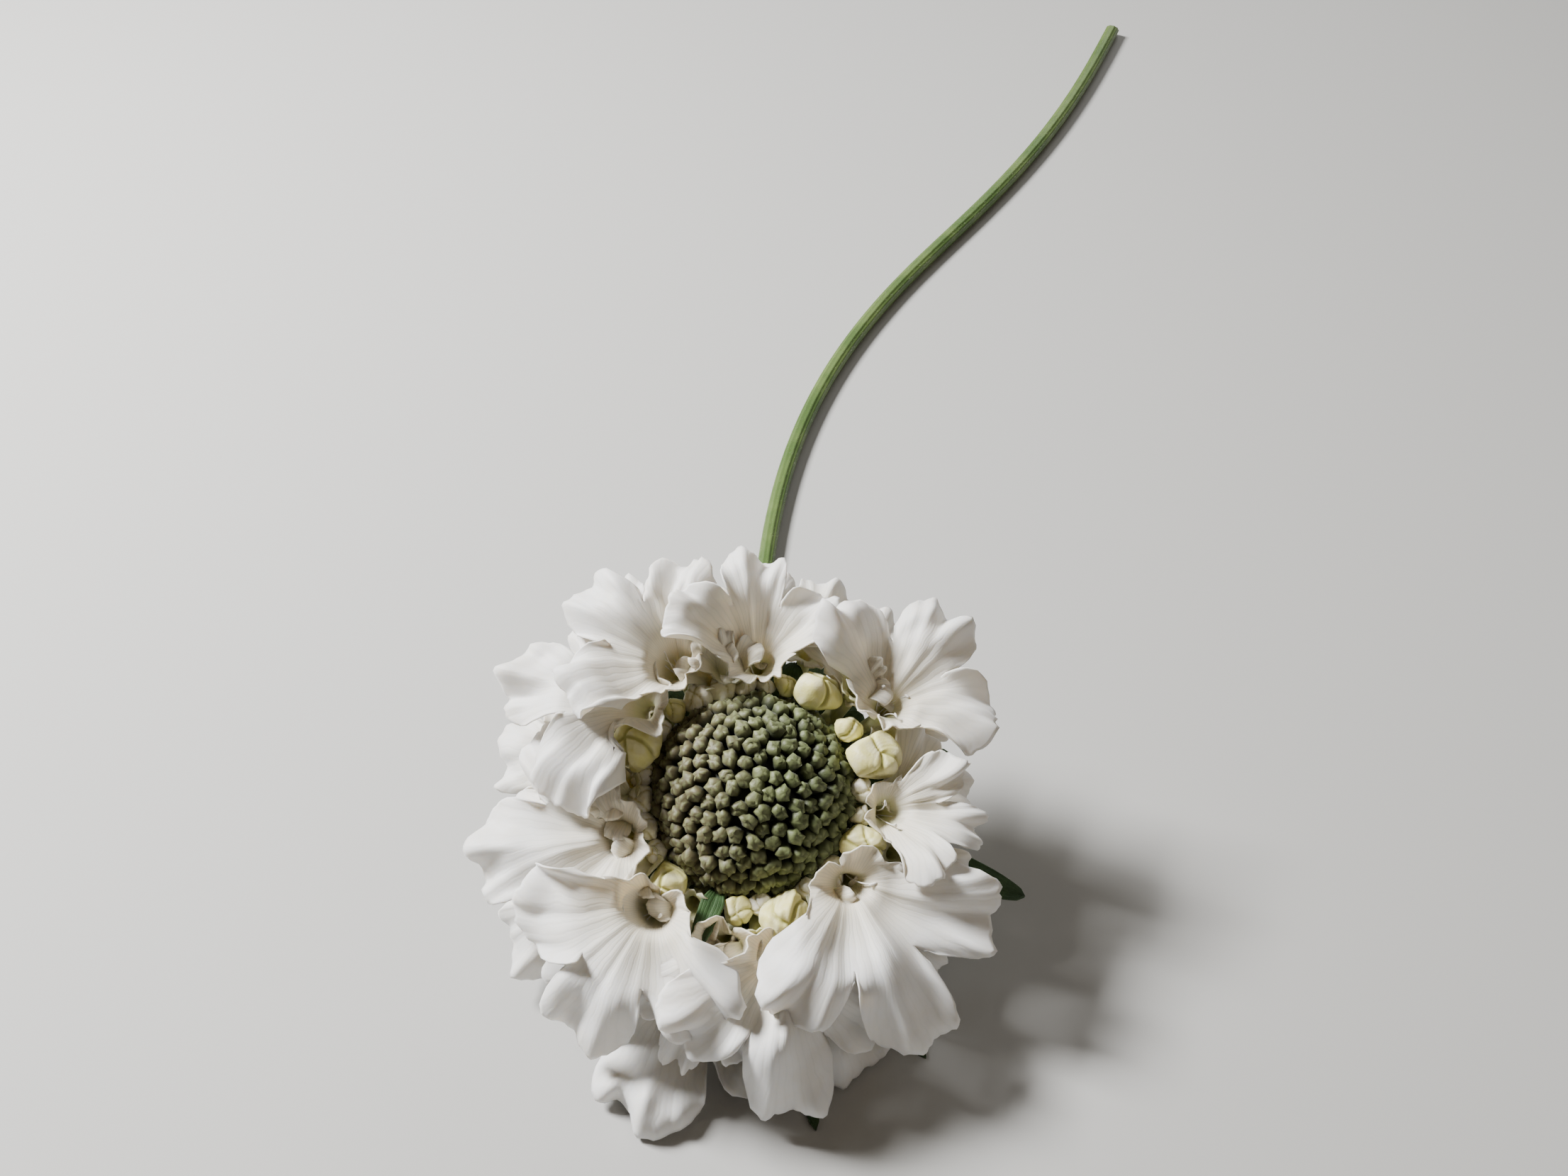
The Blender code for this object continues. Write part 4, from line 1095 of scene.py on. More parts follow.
# %% Geometry Nodes tools
def growing_tree(name, inputs):
    """A Geometry Nodes tree that takes and gives geometry, with its sizes as named inputs."""
    start = ("Geometry", "NodeSocketGeometry", None)
    return new_group(name, "GeometryNodeTree", [start, *inputs], [start[:2]])


def grown(name, mesh, tree, **inputs):
    """The mesh that a Geometry Nodes tree makes of another, with its inputs set by name."""
    holder = new_object(name, mesh)
    modifier = holder.modifiers.new("grown", "NODES")
    modifier.node_group = tree
    for item in tree.interface.items_tree:
        if item.item_type == "SOCKET" and item.in_out == "INPUT" and item.name.replace(" ", "_") in inputs:
            modifier[item.identifier] = inputs[item.name.replace(" ", "_")]
    bpy.context.view_layer.update()
    return finished_mesh(holder)


def attribute(tree, name, kind="FLOAT_VECTOR"):
    return node(tree, "GeometryNodeInputNamedAttribute", {"Name": name}, data_type=kind).outputs["Attribute"]


print("trees can be started and grown")


# %% Shapes on points
def random_value(tree, low, high, seed, kind="FLOAT"):
    """A value for each point, between two numbers or two vectors."""
    start, end = (0, 0) if kind == "FLOAT_VECTOR" else (2, 1)
    limits = {start: low, start + 1: high, "Seed": seed}
    return node(tree, "FunctionNodeRandomValue", limits, data_type=kind).outputs[end]


def tilted(tree, rotation, most, seed):
    """A rotation tilted at random by up to an angle, and turned anyhow about its own Z."""
    tilt = random_value(tree, (-most, -most, -3.1), (most, most, 3.1), seed, "FLOAT_VECTOR")
    return node(tree, "FunctionNodeRotateRotation", {0: rotation, 1: tilt}, rotation_space="LOCAL").outputs[0]


def pointing(tree, direction):
    """The rotation that turns a shape's Z to a direction."""
    return node(tree, "FunctionNodeAlignRotationToVector", {"Vector": direction}, axis="Z").outputs[0]


def set_on_points(tree, points, shape, rotation, scale):
    """A real copy of a shape on every point."""
    places = {"Points": points, "Instance": shape, "Rotation": rotation, "Scale": scale}
    placed = node(tree, "GeometryNodeInstanceOnPoints", places)
    return node(tree, "GeometryNodeRealizeInstances", {0: placed.outputs[0]}).outputs[0]


def together(tree, *shapes):
    made = node(tree, "GeometryNodeJoinGeometry")
    for shape in shapes:
        tree.links.new(shape, made.inputs[0])
    return made.outputs[0]


def dressed(tree, shape, material, **where):
    """A shape with its material, or with one on the part of it that Selection names."""
    inputs = {"Geometry": shape, "Material": material, **where}
    return node(tree, "GeometryNodeSetMaterial", inputs).outputs[0]


print("shapes can be set on points")

# %% [markdown]
# ## The stamen tree
#
# An open floret shows four thin stamens with a pale anther on each. A stamen is a thread that bends a
# little outwards, with a long grain of an anther across its tip. The thread is a short curve with a round
# profile swept along it, and each point that the tree is given carries the direction in which its floret
# looks.

# %% Stamen tree
stamen_tree, given, result = growing_tree("stamens", [
    ("Length", "NodeSocketFloat", 6.5 * MM),
    ("Thread", "NodeSocketFloat", 0.11 * MM),
    ("Anther", "NodeSocketFloat", 0.42 * MM),
    ("Seed", "NodeSocketInt", 3),
    ("Material", "NodeSocketMaterial", None),
])
tree = stamen_tree
length, seed = given.outputs["Length"], given.outputs["Seed"]
tip = vector(tree, x=maths(tree, "MULTIPLY", length, 0.35), z=length)
halfway = vector(tree, z=maths(tree, "MULTIPLY", length, 0.6))
bend = {"Resolution": 6, "Start": (0, 0, 0), "Middle": halfway, "End": tip}
line = node(tree, "GeometryNodeCurveQuadraticBezier", bend).outputs[0]
ring = node(tree, "GeometryNodeCurvePrimitiveCircle", {"Resolution": 5, "Radius": given.outputs["Thread"]})
along_line = {"Curve": line, "Profile Curve": ring.outputs[0], "Fill Caps": True}
thread = node(tree, "GeometryNodeCurveToMesh", along_line)
grain = node(tree, "GeometryNodeMeshUVSphere", {"Segments": 8, "Rings": 6, "Radius": given.outputs["Anther"]})
across_tip = {"Translation": tip, "Rotation": (0, 1.2, 0), "Scale": (0.6, 0.6, 1.6)}
anther = node(tree, "GeometryNodeTransform", {"Geometry": grain.outputs[0], **across_tip})
stamen = together(tree, thread.outputs[0], anther.outputs[0])
aim = tilted(tree, pointing(tree, attribute(tree, "aim")), 0.45, seed)
standing = set_on_points(tree, given.outputs["Geometry"], stamen, aim, random_value(tree, 0.75, 1.1, seed))
tree.links.new(dressed(tree, standing, given.outputs["Material"]), result.inputs[0])
print("stamen tree has", len(tree.nodes), "nodes")

# %% [markdown]
# ## Stamens
#
# Only the upper florets are open wide enough to show their stamens, and the narrow one among them isn't.
# Where another petal covers the throat, a stamen would poke through it, so the map of heights is asked
# first and only those that stand free are made. Their finish is a pale tissue in two tones.

# %% Stamens
STAMENS_EACH = 4
WIDE_OPEN = 0.8
FREE_LENGTH = 6 * MM


def two_tone_material(name, patch_size, cell_size, deep, pale, roughness, bump_strength=0.0):
    """Soft tissue in two tones that change from patch to patch, with an optional bump of its cells."""
    material, tree, shader = start_material(name)
    spots = effect(tree, mottle, Patch_Size=patch_size, Cell_Size=cell_size)
    tree.links.new(mix_colour(tree, spots.outputs["Patches"], deep, pale), shader.inputs["Base Color"])
    set_inputs(shader, Roughness=roughness)
    if bump_strength:
        bump(tree, shader, spots.outputs["Cells"], bump_strength, 0.1 * MM)
    return material


stamen_pale = two_tone_material("stamen_pale", 1.2, 0.1, (0.72, 0.70, 0.60), (0.80, 0.79, 0.80), 0.6)
feet, aims = [], []
for floret in upper:
    for k in range(STAMENS_EACH if floret.spread > WIDE_OPEN else 0):
        a = math.radians(45) + 2 * math.pi * k / STAMENS_EACH
        foot = floret.throat + (floret.out * math.cos(a) + floret.side * math.sin(a)) * 0.5 * MM
        foot = foot - floret.axis * 0.6 * MM
        tip = foot + floret.axis * FREE_LENGTH
        if value_at(heights, tip) <= tip[2]:
            feet.append(foot)
            aims.append(floret.axis + 0.15 * floret.out)
print(len(feet), "stamens stand free")
stamen_feet = bpy.data.meshes.new("stamen_feet")
stamen_feet.from_pydata([tuple(foot) for foot in feet], [], [])
aim = stamen_feet.attributes.new("aim", "FLOAT_VECTOR", "POINT")
aim.data.foreach_set("vector", np.array(aims, np.float32).ravel())
stamens = grown("stamens", stamen_feet, stamen_tree, Seed=3, Material=stamen_pale)
stamens.transform(head_matrix)
put("stamens", stamens, None, None)

# %% [markdown]
# ## The shape of a shut floret
#
# Round the disc stand florets that haven't opened: angular knobs of lobes folded over each other, with
# creases between them. Each direction from the middle is asked which of nine random flat facets it meets
# first, with a soft minimum that rounds the edges between them. So one round mesh takes the shape and
# stays closed, where real cuts with a Boolean would leave sharp edges and thin slivers. Three or four
# creases run up over the top, and their depth is kept in the UV map for the colour.

# %% Shut floret
FACETS = 9
FACET_SOFTNESS = 20.0
OUTER_BALL = 1.08
CREASE_WIDTH = 0.10
CREASE_DEPTH = 0.14
LARGE_BUD = 2.5 * MM


def facet_reach(directions, random):
    """How far the knob reaches in each direction: to the nearest facet, rounded where two meet."""
    facets = random.normal(0, 1, (FACETS, 3))
    facets /= np.linalg.norm(facets, axis=1)[:, None]
    facing = directions @ facets.T
    far = np.where(facing > 0.25, random.uniform(0.66, 0.96, FACETS) / np.maximum(facing, 0.25), 4.0)
    far = np.concatenate([far, np.full((len(far), 1), OUTER_BALL)], 1)
    return -np.log(np.exp(-FACET_SOFTNESS * far).sum(1)) / FACET_SOFTNESS + 0.03


def crease_depth(turn, z, count, random):
    """1 in the creases between the folded lobes, 0 away from them and on the underside."""
    folds = 2 * math.pi * (np.arange(count) + random.uniform(-0.3, 0.3, count)) / count
    apart = np.abs((turn[:, None] - folds - 0.5 * z[:, None] + math.pi) % (2 * math.pi) - math.pi)
    apart = apart.min(1) * np.sqrt(np.clip(1 - z**2, 0, 1))
    return np.exp(-((apart / CREASE_WIDTH) ** 2)) * smooth((z + 0.15) / 0.5)


print("a knob has", FACETS, "facets")


# %% Knob of folded lobes
def lumpy_knob(name, radius, seed):
    """A closed, angular knob of folded lobes, with the depth of its creases kept as its UV height."""
    random = np.random.default_rng(seed)
    bm = bmesh.new()
    bmesh.ops.create_icosphere(bm, subdivisions=5 if radius > LARGE_BUD else 4, radius=1)
    directions = np.array([v.co[:] for v in bm.verts])
    reach = facet_reach(directions, random)
    turn = np.arctan2(directions[:, 1], directions[:, 0])
    crease = crease_depth(turn, directions[:, 2], 3 + seed % 2, random)
    reach *= 1 - CREASE_DEPTH * crease
    broad, narrow = random.normal(0, 7, 3), random.normal(0, 15, 3)
    reach += 0.020 * np.sin(directions @ broad) + 0.014 * np.sin(directions @ narrow)
    shape = directions * (reach * radius)[:, None]
    below = np.clip(-shape[:, 2] / radius, 0, 1)
    shape[:, :2] *= (1 - 0.45 * below**1.3)[:, None]
    for v, place in zip(bm.verts, shape):
        v.co = place
    mesh = bpy.data.meshes.new(name)
    bm.to_mesh(mesh)
    bm.free()
    layer = mesh.uv_layers.new(name="blade")
    loops = np.zeros(len(mesh.loops), np.int32)
    mesh.loops.foreach_get("vertex_index", loops)
    folded = np.stack([turn / (2 * math.pi), 1 - crease], -1)[loops]
    layer.data.foreach_set("uv", folded.astype(np.float32).ravel())
    return mesh


print("knobs over", LARGE_BUD / MM, "mm in radius get a finer mesh")

# %% [markdown]
# ## The colour of the shut florets
#
# Shut florets are lemon to cream and as soft as the petals, so they scatter light too. Their creases are
# greener, which is their own colour, and darker, which is painted shade. The ten large ones of the plain
# solids are the yellower ones. The small ones round the disc are nearly white, like the florets that will
# open next.

# %% Knob materials
def knob_material(name, deep, pale, crease):
    material, tree, shader = start_material(name)
    spots = effect(tree, mottle, Patch_Size=2.2, Cell_Size=0.3)
    crown = mix_colour(tree, ranged(tree, spots.outputs["Patches"], 0.35, 0.65), deep, pale)
    # Painted shade: the colour darkens into the creases kept in the UV map.
    clear_of_crease_shade = ranged(tree, axes(tree, surface_place(tree, "UV"))["Y"], 0.0, 0.75)
    tree.links.new(mix_colour(tree, clear_of_crease_shade, crease, crown), shader.inputs["Base Color"])
    set_inputs(shader, Roughness=0.5)
    set_inputs(shader, Subsurface_Weight=0.3, Subsurface_Radius=(1.0, 0.85, 0.4), Subsurface_Scale=1.0 * MM)
    bump(tree, shader, spots.outputs["Cells"], 0.35, 0.15 * MM)
    return material


# The third colour of each is the crease colour: greener, and darker as painted shade.
knob_lemon = knob_material("knob_lemon", (0.75, 0.71, 0.28), (0.79, 0.755, 0.44), (0.46, 0.44, 0.13))
knob_white = knob_material("knob_white", (0.76, 0.72, 0.50), (0.80, 0.78, 0.68), (0.55, 0.50, 0.24))
print("knob materials:", knob_lemon.name, knob_white.name)

# %% [markdown]
# ## Shut florets on their stalks
#
# Every knob stands on a short stalk that comes out of the knob under the disc and bends up. The stalks
# hardly show, but without them the buds would hang in the air for anyone who turns the model. Fourteen
# small shut florets fill the places between the large ones.

# %% Shut florets
SMALL_BUD_DIRECTIONS = [84, 94, 106, 121, 146, 171, 184, 197, 212, 275, 299, 315, 348, 1]
SMALL_BUDS = [(angle, 17.4, 13.9, 1.6 + 0.2 * (k % 4)) for k, angle in enumerate(SMALL_BUD_DIRECTIONS)]
STALK_FOOT = 8.6
STALK_KNEE = 9.7
STALK_RADII = [0.7 * MM, 0.7 * MM, 0.75 * MM, 0.8 * MM, 1.0 * MM]
KNOB_FULLNESS = 1.12


def limb_mesh(name, path, radii, sides, matrix):
    """A round limb through points, closed at both ends."""
    rings = []
    for k, (point, radius) in enumerate(zip(path, radii)):
        heading = path[min(k + 1, len(path) - 1)] - path[max(k - 1, 0)]
        turn = heading.to_track_quat("Z", "Y").to_matrix()
        rings.append([point + turn @ corner for corner in circle(radius, sides)])
    mesh = ringed_mesh(name, rings, matrix)
    mesh.uv_layers.new(name="blade")
    return mesh


print(len(CREAM_BUDS), "large and", len(SMALL_BUDS), "small buds")


# %% Knobs on stalks
def shut_florets(name, buds, first_seed):
    """Knobs on stalks as one mesh, each bud given by direction, distance, height and radius."""
    knobs = []
    for number, (direction, distance, height, radius) in enumerate(buds):
        a = math.radians(direction)
        out, upward = Vector((math.cos(a), math.sin(a), 0)), Vector((0, 0, 1))
        centre = (out * distance + upward * height) * MM
        lean = (out * 0.5 + upward).normalized()
        knob = lumpy_knob(name, radius * KNOB_FULLNESS * MM, first_seed + number)
        knob.transform(Matrix.Translation(centre) @ lean.to_track_quat("Z", "Y").to_matrix().to_4x4())
        knob.transform(head_matrix)
        root = (out * ROOT_DISTANCE + upward * STALK_FOOT) * MM
        knee = (out * (distance - 2) + upward * STALK_KNEE) * MM
        neck = centre - lean * radius * 0.5 * MM
        path = [root, root.lerp(knee, 0.6), knee.lerp(neck, 0.12), knee.lerp(neck, 0.5), neck]
        knobs += [knob, limb_mesh(name, path, STALK_RADII, 12, head_matrix)]
    return joined_mesh(name, knobs)


for name, buds, first_seed, material in (
    ("shut_florets", CREAM_BUDS, 40, knob_lemon),
    ("small_shut_florets", SMALL_BUDS, 60, knob_white),
):
    put(name, shut_florets(name, buds, first_seed), material, "cream_florets")

# %% [markdown]
# ## The knob under the florets
#
# All the florets stand on one knob, the receptacle. Little of it shows, but without it the tubes would
# start from nothing when one looks between the petals. It is turned from a short profile, in a paler
# green than the bracts because it never sees the sun.

# %% Receptacle
KNOB_PROFILE = [(9.3, 4.25), (10.6, 5.2), (11.0, 6.4), (10.8, 7.4), (10.4, 8.6), (10.2, 9.7)]
KNOB_DEEP, KNOB_PALE, KNOB_RIB = (0.16, 0.20, 0.06), (0.24, 0.27, 0.10), (0.3, 0.33, 0.16)
receptacle_green = leaf_material("receptacle_green", KNOB_DEEP, KNOB_PALE, KNOB_RIB, 30.0, 0.55)
receptacle = turned_mesh("receptacle", KNOB_PROFILE, 64, head_matrix)
receptacle.uv_layers.new(name="blade")
put("receptacle", receptacle, receptacle_green, None)

# %% [markdown]
# ## One disc bud
#
# The dome in the middle is packed with some two hundred shut florets. Each is a short form with five
# blunt corners over a narrow foot. Because it is repeated so often it has only sixty faces: five rings of
# ten points, closed by a fan at both ends. Its height is kept in the UV map, for the colour.

# %% Disc bud
BUD_PROFILE = [(0.28, -0.6), (0.42, 0.15), (0.51, 0.66), (0.45, 0.92), (0.20, 1.06)]
BUD_SIDES = 10
BUD_TOP = 1.04


def bud_point(number, k):
    """A point of the bud's ring by its number, pushed out and up at every other corner."""
    r, z = BUD_PROFILE[number]
    a = 2 * math.pi * k / BUD_SIDES
    corner = 1 - k % 2
    lobing = min(number / 2, 1) * (0.18 * corner + 0.07 * math.cos(2 * a + 0.7))
    raised = 0.06 * corner + 0.05 * math.cos(3 * a) if number > 2 else 0
    return r * (1 + lobing) * math.cos(a), r * (1 + lobing) * math.sin(a), z + raised


def disc_bud(name):
    """A shut floret one unit wide: five blunt corners over a narrow foot, with its height kept as UV."""
    bm = bmesh.new()
    layer = bm.loops.layers.uv.new("blade")
    rings, level = [], {}
    for number in range(len(BUD_PROFILE)):
        ring = [bm.verts.new(bud_point(number, k)) for k in range(BUD_SIDES)]
        for k, v in enumerate(ring):
            level[v] = (0.5 + 0.5 * math.cos(10 * math.pi * k / BUD_SIDES), number / (len(BUD_PROFILE) - 1))
        rings.append(ring)
    bridge(bm, rings)
    for ring, z, share in ((rings[0], BUD_PROFILE[0][1], 0.0), (rings[-1], BUD_TOP, 1.0)):
        middle = bm.verts.new((0, 0, z))
        level[middle] = (0.0, share)
        for k in range(BUD_SIDES):
            bm.faces.new((ring[k], ring[(k + 1) % BUD_SIDES], middle))
    bmesh.ops.recalc_face_normals(bm, faces=bm.faces)
    for face in bm.faces:
        for loop in face.loops:
            loop[layer].uv = level[loop.vert]
    return outward_mesh(name, bm)


bud_template = new_object("disc_bud", disc_bud("disc_bud"))
print("one bud has", len(bud_template.data.polygons), "faces")

# %% [markdown]
# ## The tree of the disc
#
# The disc florets sit in two sets of spirals, because each grows a golden angle further round than the
# last. A rule like that belongs in Geometry Nodes. Each point's number gives its turn and its tilt on the
# dome, and the tree sets the bud there, leaning a little at random. Every bud gets a tone of its own, and
# soft noise dents them all, so that no two are alike.

# %% Places on the dome
BUD_COUNT = 205
GOLDEN_ANGLE = math.pi * (3 - math.sqrt(5))

disc_tree, given, result = growing_tree("spiral_disc", [
    ("Bud", "NodeSocketObject", None),
    ("Buds", "NodeSocketInt", BUD_COUNT),
    ("Dome Radius", "NodeSocketFloat", 13.9 * MM),
    ("Dome Height", "NodeSocketFloat", 8.6 * MM),
    ("Foot Tilt", "NodeSocketFloat", math.radians(84)),
    ("Spread", "NodeSocketFloat", 0.55),
    ("Bud Width", "NodeSocketFloat", 2.6 * MM),
    ("Dents", "NodeSocketFloat", 1.3 * MM),
    ("Seed", "NodeSocketInt", 11),
    ("Material", "NodeSocketMaterial", None),
])
tree = disc_tree
buds, foot_tilt, seed = (given.outputs[label] for label in ("Buds", "Foot Tilt", "Seed"))
index = node(tree, "GeometryNodeInputIndex").outputs[0]
share = maths(tree, "DIVIDE", maths(tree, "ADD", index, 0.5), buds)
share = maths(tree, "POWER", share, given.outputs["Spread"])
tilt = maths(tree, "MULTIPLY", share, foot_tilt)
turn = maths(tree, "MULTIPLY", index, GOLDEN_ANGLE)
reach = maths(tree, "DIVIDE", maths(tree, "SINE", tilt), maths(tree, "SINE", foot_tilt))
radius = maths(tree, "MULTIPLY", given.outputs["Dome Radius"], reach)
rise = maths(tree, "SUBTRACT", maths(tree, "COSINE", tilt), maths(tree, "COSINE", foot_tilt))
lift = maths(tree, "MULTIPLY", given.outputs["Dome Height"], rise)


def round_the_dome(distance, height):
    """A vector at the point's turn, by its distance from the axis and its height."""
    x, y = (maths(tree, "MULTIPLY", maths(tree, wave, turn), distance) for wave in ("COSINE", "SINE"))
    return vector(tree, x, y, height)


place = round_the_dome(radius, lift)
away = round_the_dome(maths(tree, "SINE", tilt), maths(tree, "COSINE", tilt))
line = node(tree, "GeometryNodeMeshLine", {"Count": buds})
points = node(tree, "GeometryNodeSetPosition", {"Geometry": line.outputs[0], "Position": place})
print("places on the dome take", len(tree.nodes), "nodes")

# %% Buds on the dome
own_tone = {"Geometry": points.outputs[0], "Name": "tone", "Value": random_value(tree, 0.0, 1.0, seed)}
toned = node(tree, "GeometryNodeStoreNamedAttribute", own_tone, data_type="FLOAT", domain="POINT")
variety = random_value(tree, (0.84, 0.84, 0.80), (1.08, 1.08, 1.15), seed, "FLOAT_VECTOR")
grading = node(tree, "ShaderNodeMapRange", {0: share, 1: 0.0, 2: 0.5, 3: 0.93, 4: 1.0}).outputs[0]
size = scaled(tree, variety, maths(tree, "MULTIPLY", grading, given.outputs["Bud Width"]))
bud = node(tree, "GeometryNodeObjectInfo", {"Object": given.outputs["Bud"]}).outputs["Geometry"]
packed = set_on_points(tree, toned.outputs[0], bud, tilted(tree, pointing(tree, away), 0.17, seed), size)
spot_mm = scaled(tree, node(tree, "GeometryNodeInputPosition").outputs[0], 1 / MM)
lumps = node(tree, "ShaderNodeTexNoise", {"Vector": spot_mm, "Scale": 0.75, "Detail": 1.0}).outputs["Color"]
dents = scaled(tree, between_ends(tree, (0.5, 0.5, 0.5), lumps), given.outputs["Dents"])
uneven = node(tree, "GeometryNodeSetPosition", {"Geometry": packed, "Offset": dents}).outputs[0]
tree.links.new(dressed(tree, uneven, given.outputs["Material"]), result.inputs[0])
print("disc tree has", len(tree.nodes), "nodes")

# %% [markdown]
# ## Colour of the disc
#
# The buds are sage green, brown on one side of the dome. The almost black-green at their feet and in the
# gaps between them is painted shade, and their paler upper corners are a painted highlight. The bud's own
# height and corners, kept in its UV map, drive the colour from the painted shade at the foot to the
# painted highlight at the tip, and the tone of each bud keeps the dome from looking stamped.

# %% Bud skin
SAGE_DEEP, SAGE_PALE = (0.052, 0.074, 0.022), (0.112, 0.148, 0.050)
BUD_BROWN = (0.105, 0.080, 0.038)
# Painted shade: near-black green at each bud's foot, in the gaps and on the dome.
PAINTED_GAP_SHADE = (0.016, 0.022, 0.008)
# Painted highlight: the pale green on the upper corners of each bud.
PAINTED_TIP_HIGHLIGHT = (0.26, 0.31, 0.14)
GREEN_FROM_X, BROWN_FROM_X = -0.026, -0.047

bud_skin, tree, shader = start_material("disc_bud_skin")
spots = effect(tree, mottle, Patch_Size=6.0, Cell_Size=0.22)
corners, up_the_bud = list(axes(tree, surface_place(tree, "UV")))[:2]
tone = node(tree, "ShaderNodeAttribute", attribute_name="tone").outputs["Fac"]
sage = mix_colour(tree, tone, SAGE_DEEP, SAGE_PALE)
across = axes(tree, surface_place(tree, "Object"))["X"]
brown_side = ranged(tree, across, GREEN_FROM_X, BROWN_FROM_X, 0.0, 0.75)
brown_share = maths(tree, "ADD", brown_side, maths(tree, "MULTIPLY", spots.outputs["Patches"], 0.3))
patched = mix_colour(tree, brown_share, sage, BUD_BROWN)
# Painted shade: dark from the bud's foot up towards its middle.
shaded_at_foot = mix_colour(tree, ranged(tree, up_the_bud, 0.30, 0.75), PAINTED_GAP_SHADE, patched)
# Painted highlight: the upper corners of each bud are paler.
highlight_share = maths(tree, "MULTIPLY", ranged(tree, up_the_bud, 0.62, 0.86), corners)
highlighted = mix_colour(tree, maths(tree, "MULTIPLY", highlight_share, 0.5), shaded_at_foot, PAINTED_TIP_HIGHLIGHT)
tree.links.new(highlighted, shader.inputs["Base Color"])
set_inputs(shader, Roughness=0.55, Sheen_Weight=0.08, Sheen_Roughness=0.5)
bump(tree, shader, spots.outputs["Cells"], 0.4, 0.1 * MM)
print(bud_skin.name, "has", len(tree.nodes), "nodes")

# %% [markdown]
# ## The disc
#
# The tree makes all the buds at once. Between their feet one would look into the head, so a plain dome
# closes it just below them. Its UV map is all zero, which the bud's skin reads as foot, so the dome gets
# the painted shade of the gaps.

# %% Disc
DISC_BASE = 12.3 * MM
DOME_RADIUS, DOME_RISE, DOME_MIDDLE = 13.2, 8.1, 12.0

disc_start = bpy.data.meshes.new("disc_start")
disc_start.from_pydata([(0, 0, 0)], [], [])
disc = grown("disc", disc_start, disc_tree, Bud=bud_template, Buds=BUD_COUNT, Seed=11, Material=bud_skin)
bpy.data.objects.remove(bud_template, do_unlink=True)
disc.transform(Matrix.Translation((0, 0, DISC_BASE)))
disc.transform(head_matrix)
dome_profile = [(12.8, 9.9), (DOME_RADIUS, 11.2), (DOME_RADIUS, 12.4)]
for t in range(80, 4, -8):
    a = math.radians(t)
    dome_profile.append((DOME_RADIUS * math.sin(a), DOME_MIDDLE + DOME_RISE * math.cos(a)))
dome = turned_mesh("dome", dome_profile, 64, head_matrix)
# An all-zero UV gives the dome the painted shade of the gaps.
dome_uv = dome.uv_layers.new(name="blade")
dome_uv.data.foreach_set("uv", np.zeros(2 * len(dome.loops), np.float32))
put("disc_buds", joined_mesh("disc_buds", [disc, dome]), bud_skin, "disc_florets")

# %% [markdown]
# ## The line of the stem
#
# The stem comes down out of the head, bends round to level in a short neck and then lies on the table in
# a loose curve. It is walked in many small steps, each in the direction that its distance from the head
# gives, so its length is exact. A curve drawn by hand would need its length checked after every change.

# %% Stem path
STEM_LENGTH = 350 * MM
STEM_STEPS = 700
KEPT_STEP = 4
NECK_EASE = 1.5
NECK_START = 1.5 * MM
TOP_RADIUS, THICKENING, COLLAR_RADIUS = 1.6, 0.5, 2.2
COLLAR_LENGTH = 5 * MM
SWEEP, SWEEP_BACK = math.radians(34), math.radians(13)


def stem_direction(travelled, neck):
    """Down out of the head, round the neck to level, then in a loose curve."""
    pitch = FACE_UP * min(max((neck - travelled) / (neck - NECK_START), 0), 1) ** NECK_EASE
    run = (travelled - neck) / (STEM_LENGTH - neck)
    heading = SWEEP * float(smooth(run / 0.6)) - SWEEP_BACK * float(smooth(run * 2 - 1))
    level = Vector((math.sin(heading), math.cos(heading), 0)) * math.cos(pitch)
    return level - Vector((0, 0, math.sin(pitch)))


def stem_path():
    """(point, radius) down the stem, from under the head to the cut."""
    point = HEAD_BASE - Vector((0, -math.cos(FACE_UP), math.sin(FACE_UP))) * 0.3 * MM
    drop = point.z - TOP_RADIUS * MM - NECK_START * math.sin(FACE_UP)
    neck = NECK_START + drop / float(np.mean(np.sin(FACE_UP * np.linspace(0, 1, 401) ** NECK_EASE)))
    step = STEM_LENGTH / STEM_STEPS
    made = []
    for k in range(STEM_STEPS + 1):
        travelled = STEM_LENGTH * k / STEM_STEPS
        radius = (TOP_RADIUS + THICKENING * travelled / STEM_LENGTH) * MM
        if travelled >= neck:
            point.z = radius + 0.02 * MM
        collar = float(smooth(1 - travelled / COLLAR_LENGTH))
        made.append((point.copy(), radius + (COLLAR_RADIUS * MM - radius) * collar))
        point += step * stem_direction(travelled + step / 2, neck)
    return made[::KEPT_STEP]


path = stem_path()
stem_line = bpy.data.meshes.new("stem_line")
stem_line.from_pydata([tuple(p) for p, _ in path], [(k, k + 1) for k in range(len(path) - 1)], [])
thick = stem_line.attributes.new("thick", "FLOAT", "POINT")
thick.data.foreach_set("value", np.array([r for _, r in path], np.float32))
print("stem path of", len(path), "points, ends at", tuple(round(v / MM) for v in path[-1][0]))

# %% [markdown]
# ## The stem's tube
#
# A tube along a path is the classic job for Geometry Nodes: the path becomes a curve, the curve carries
# the radius, and a ribbed profile is swept along it. The cut end is slanted by sliding its last ring
# along the stem. The end faces have many corners, so they are found by that and get the look of fresh
# flesh.

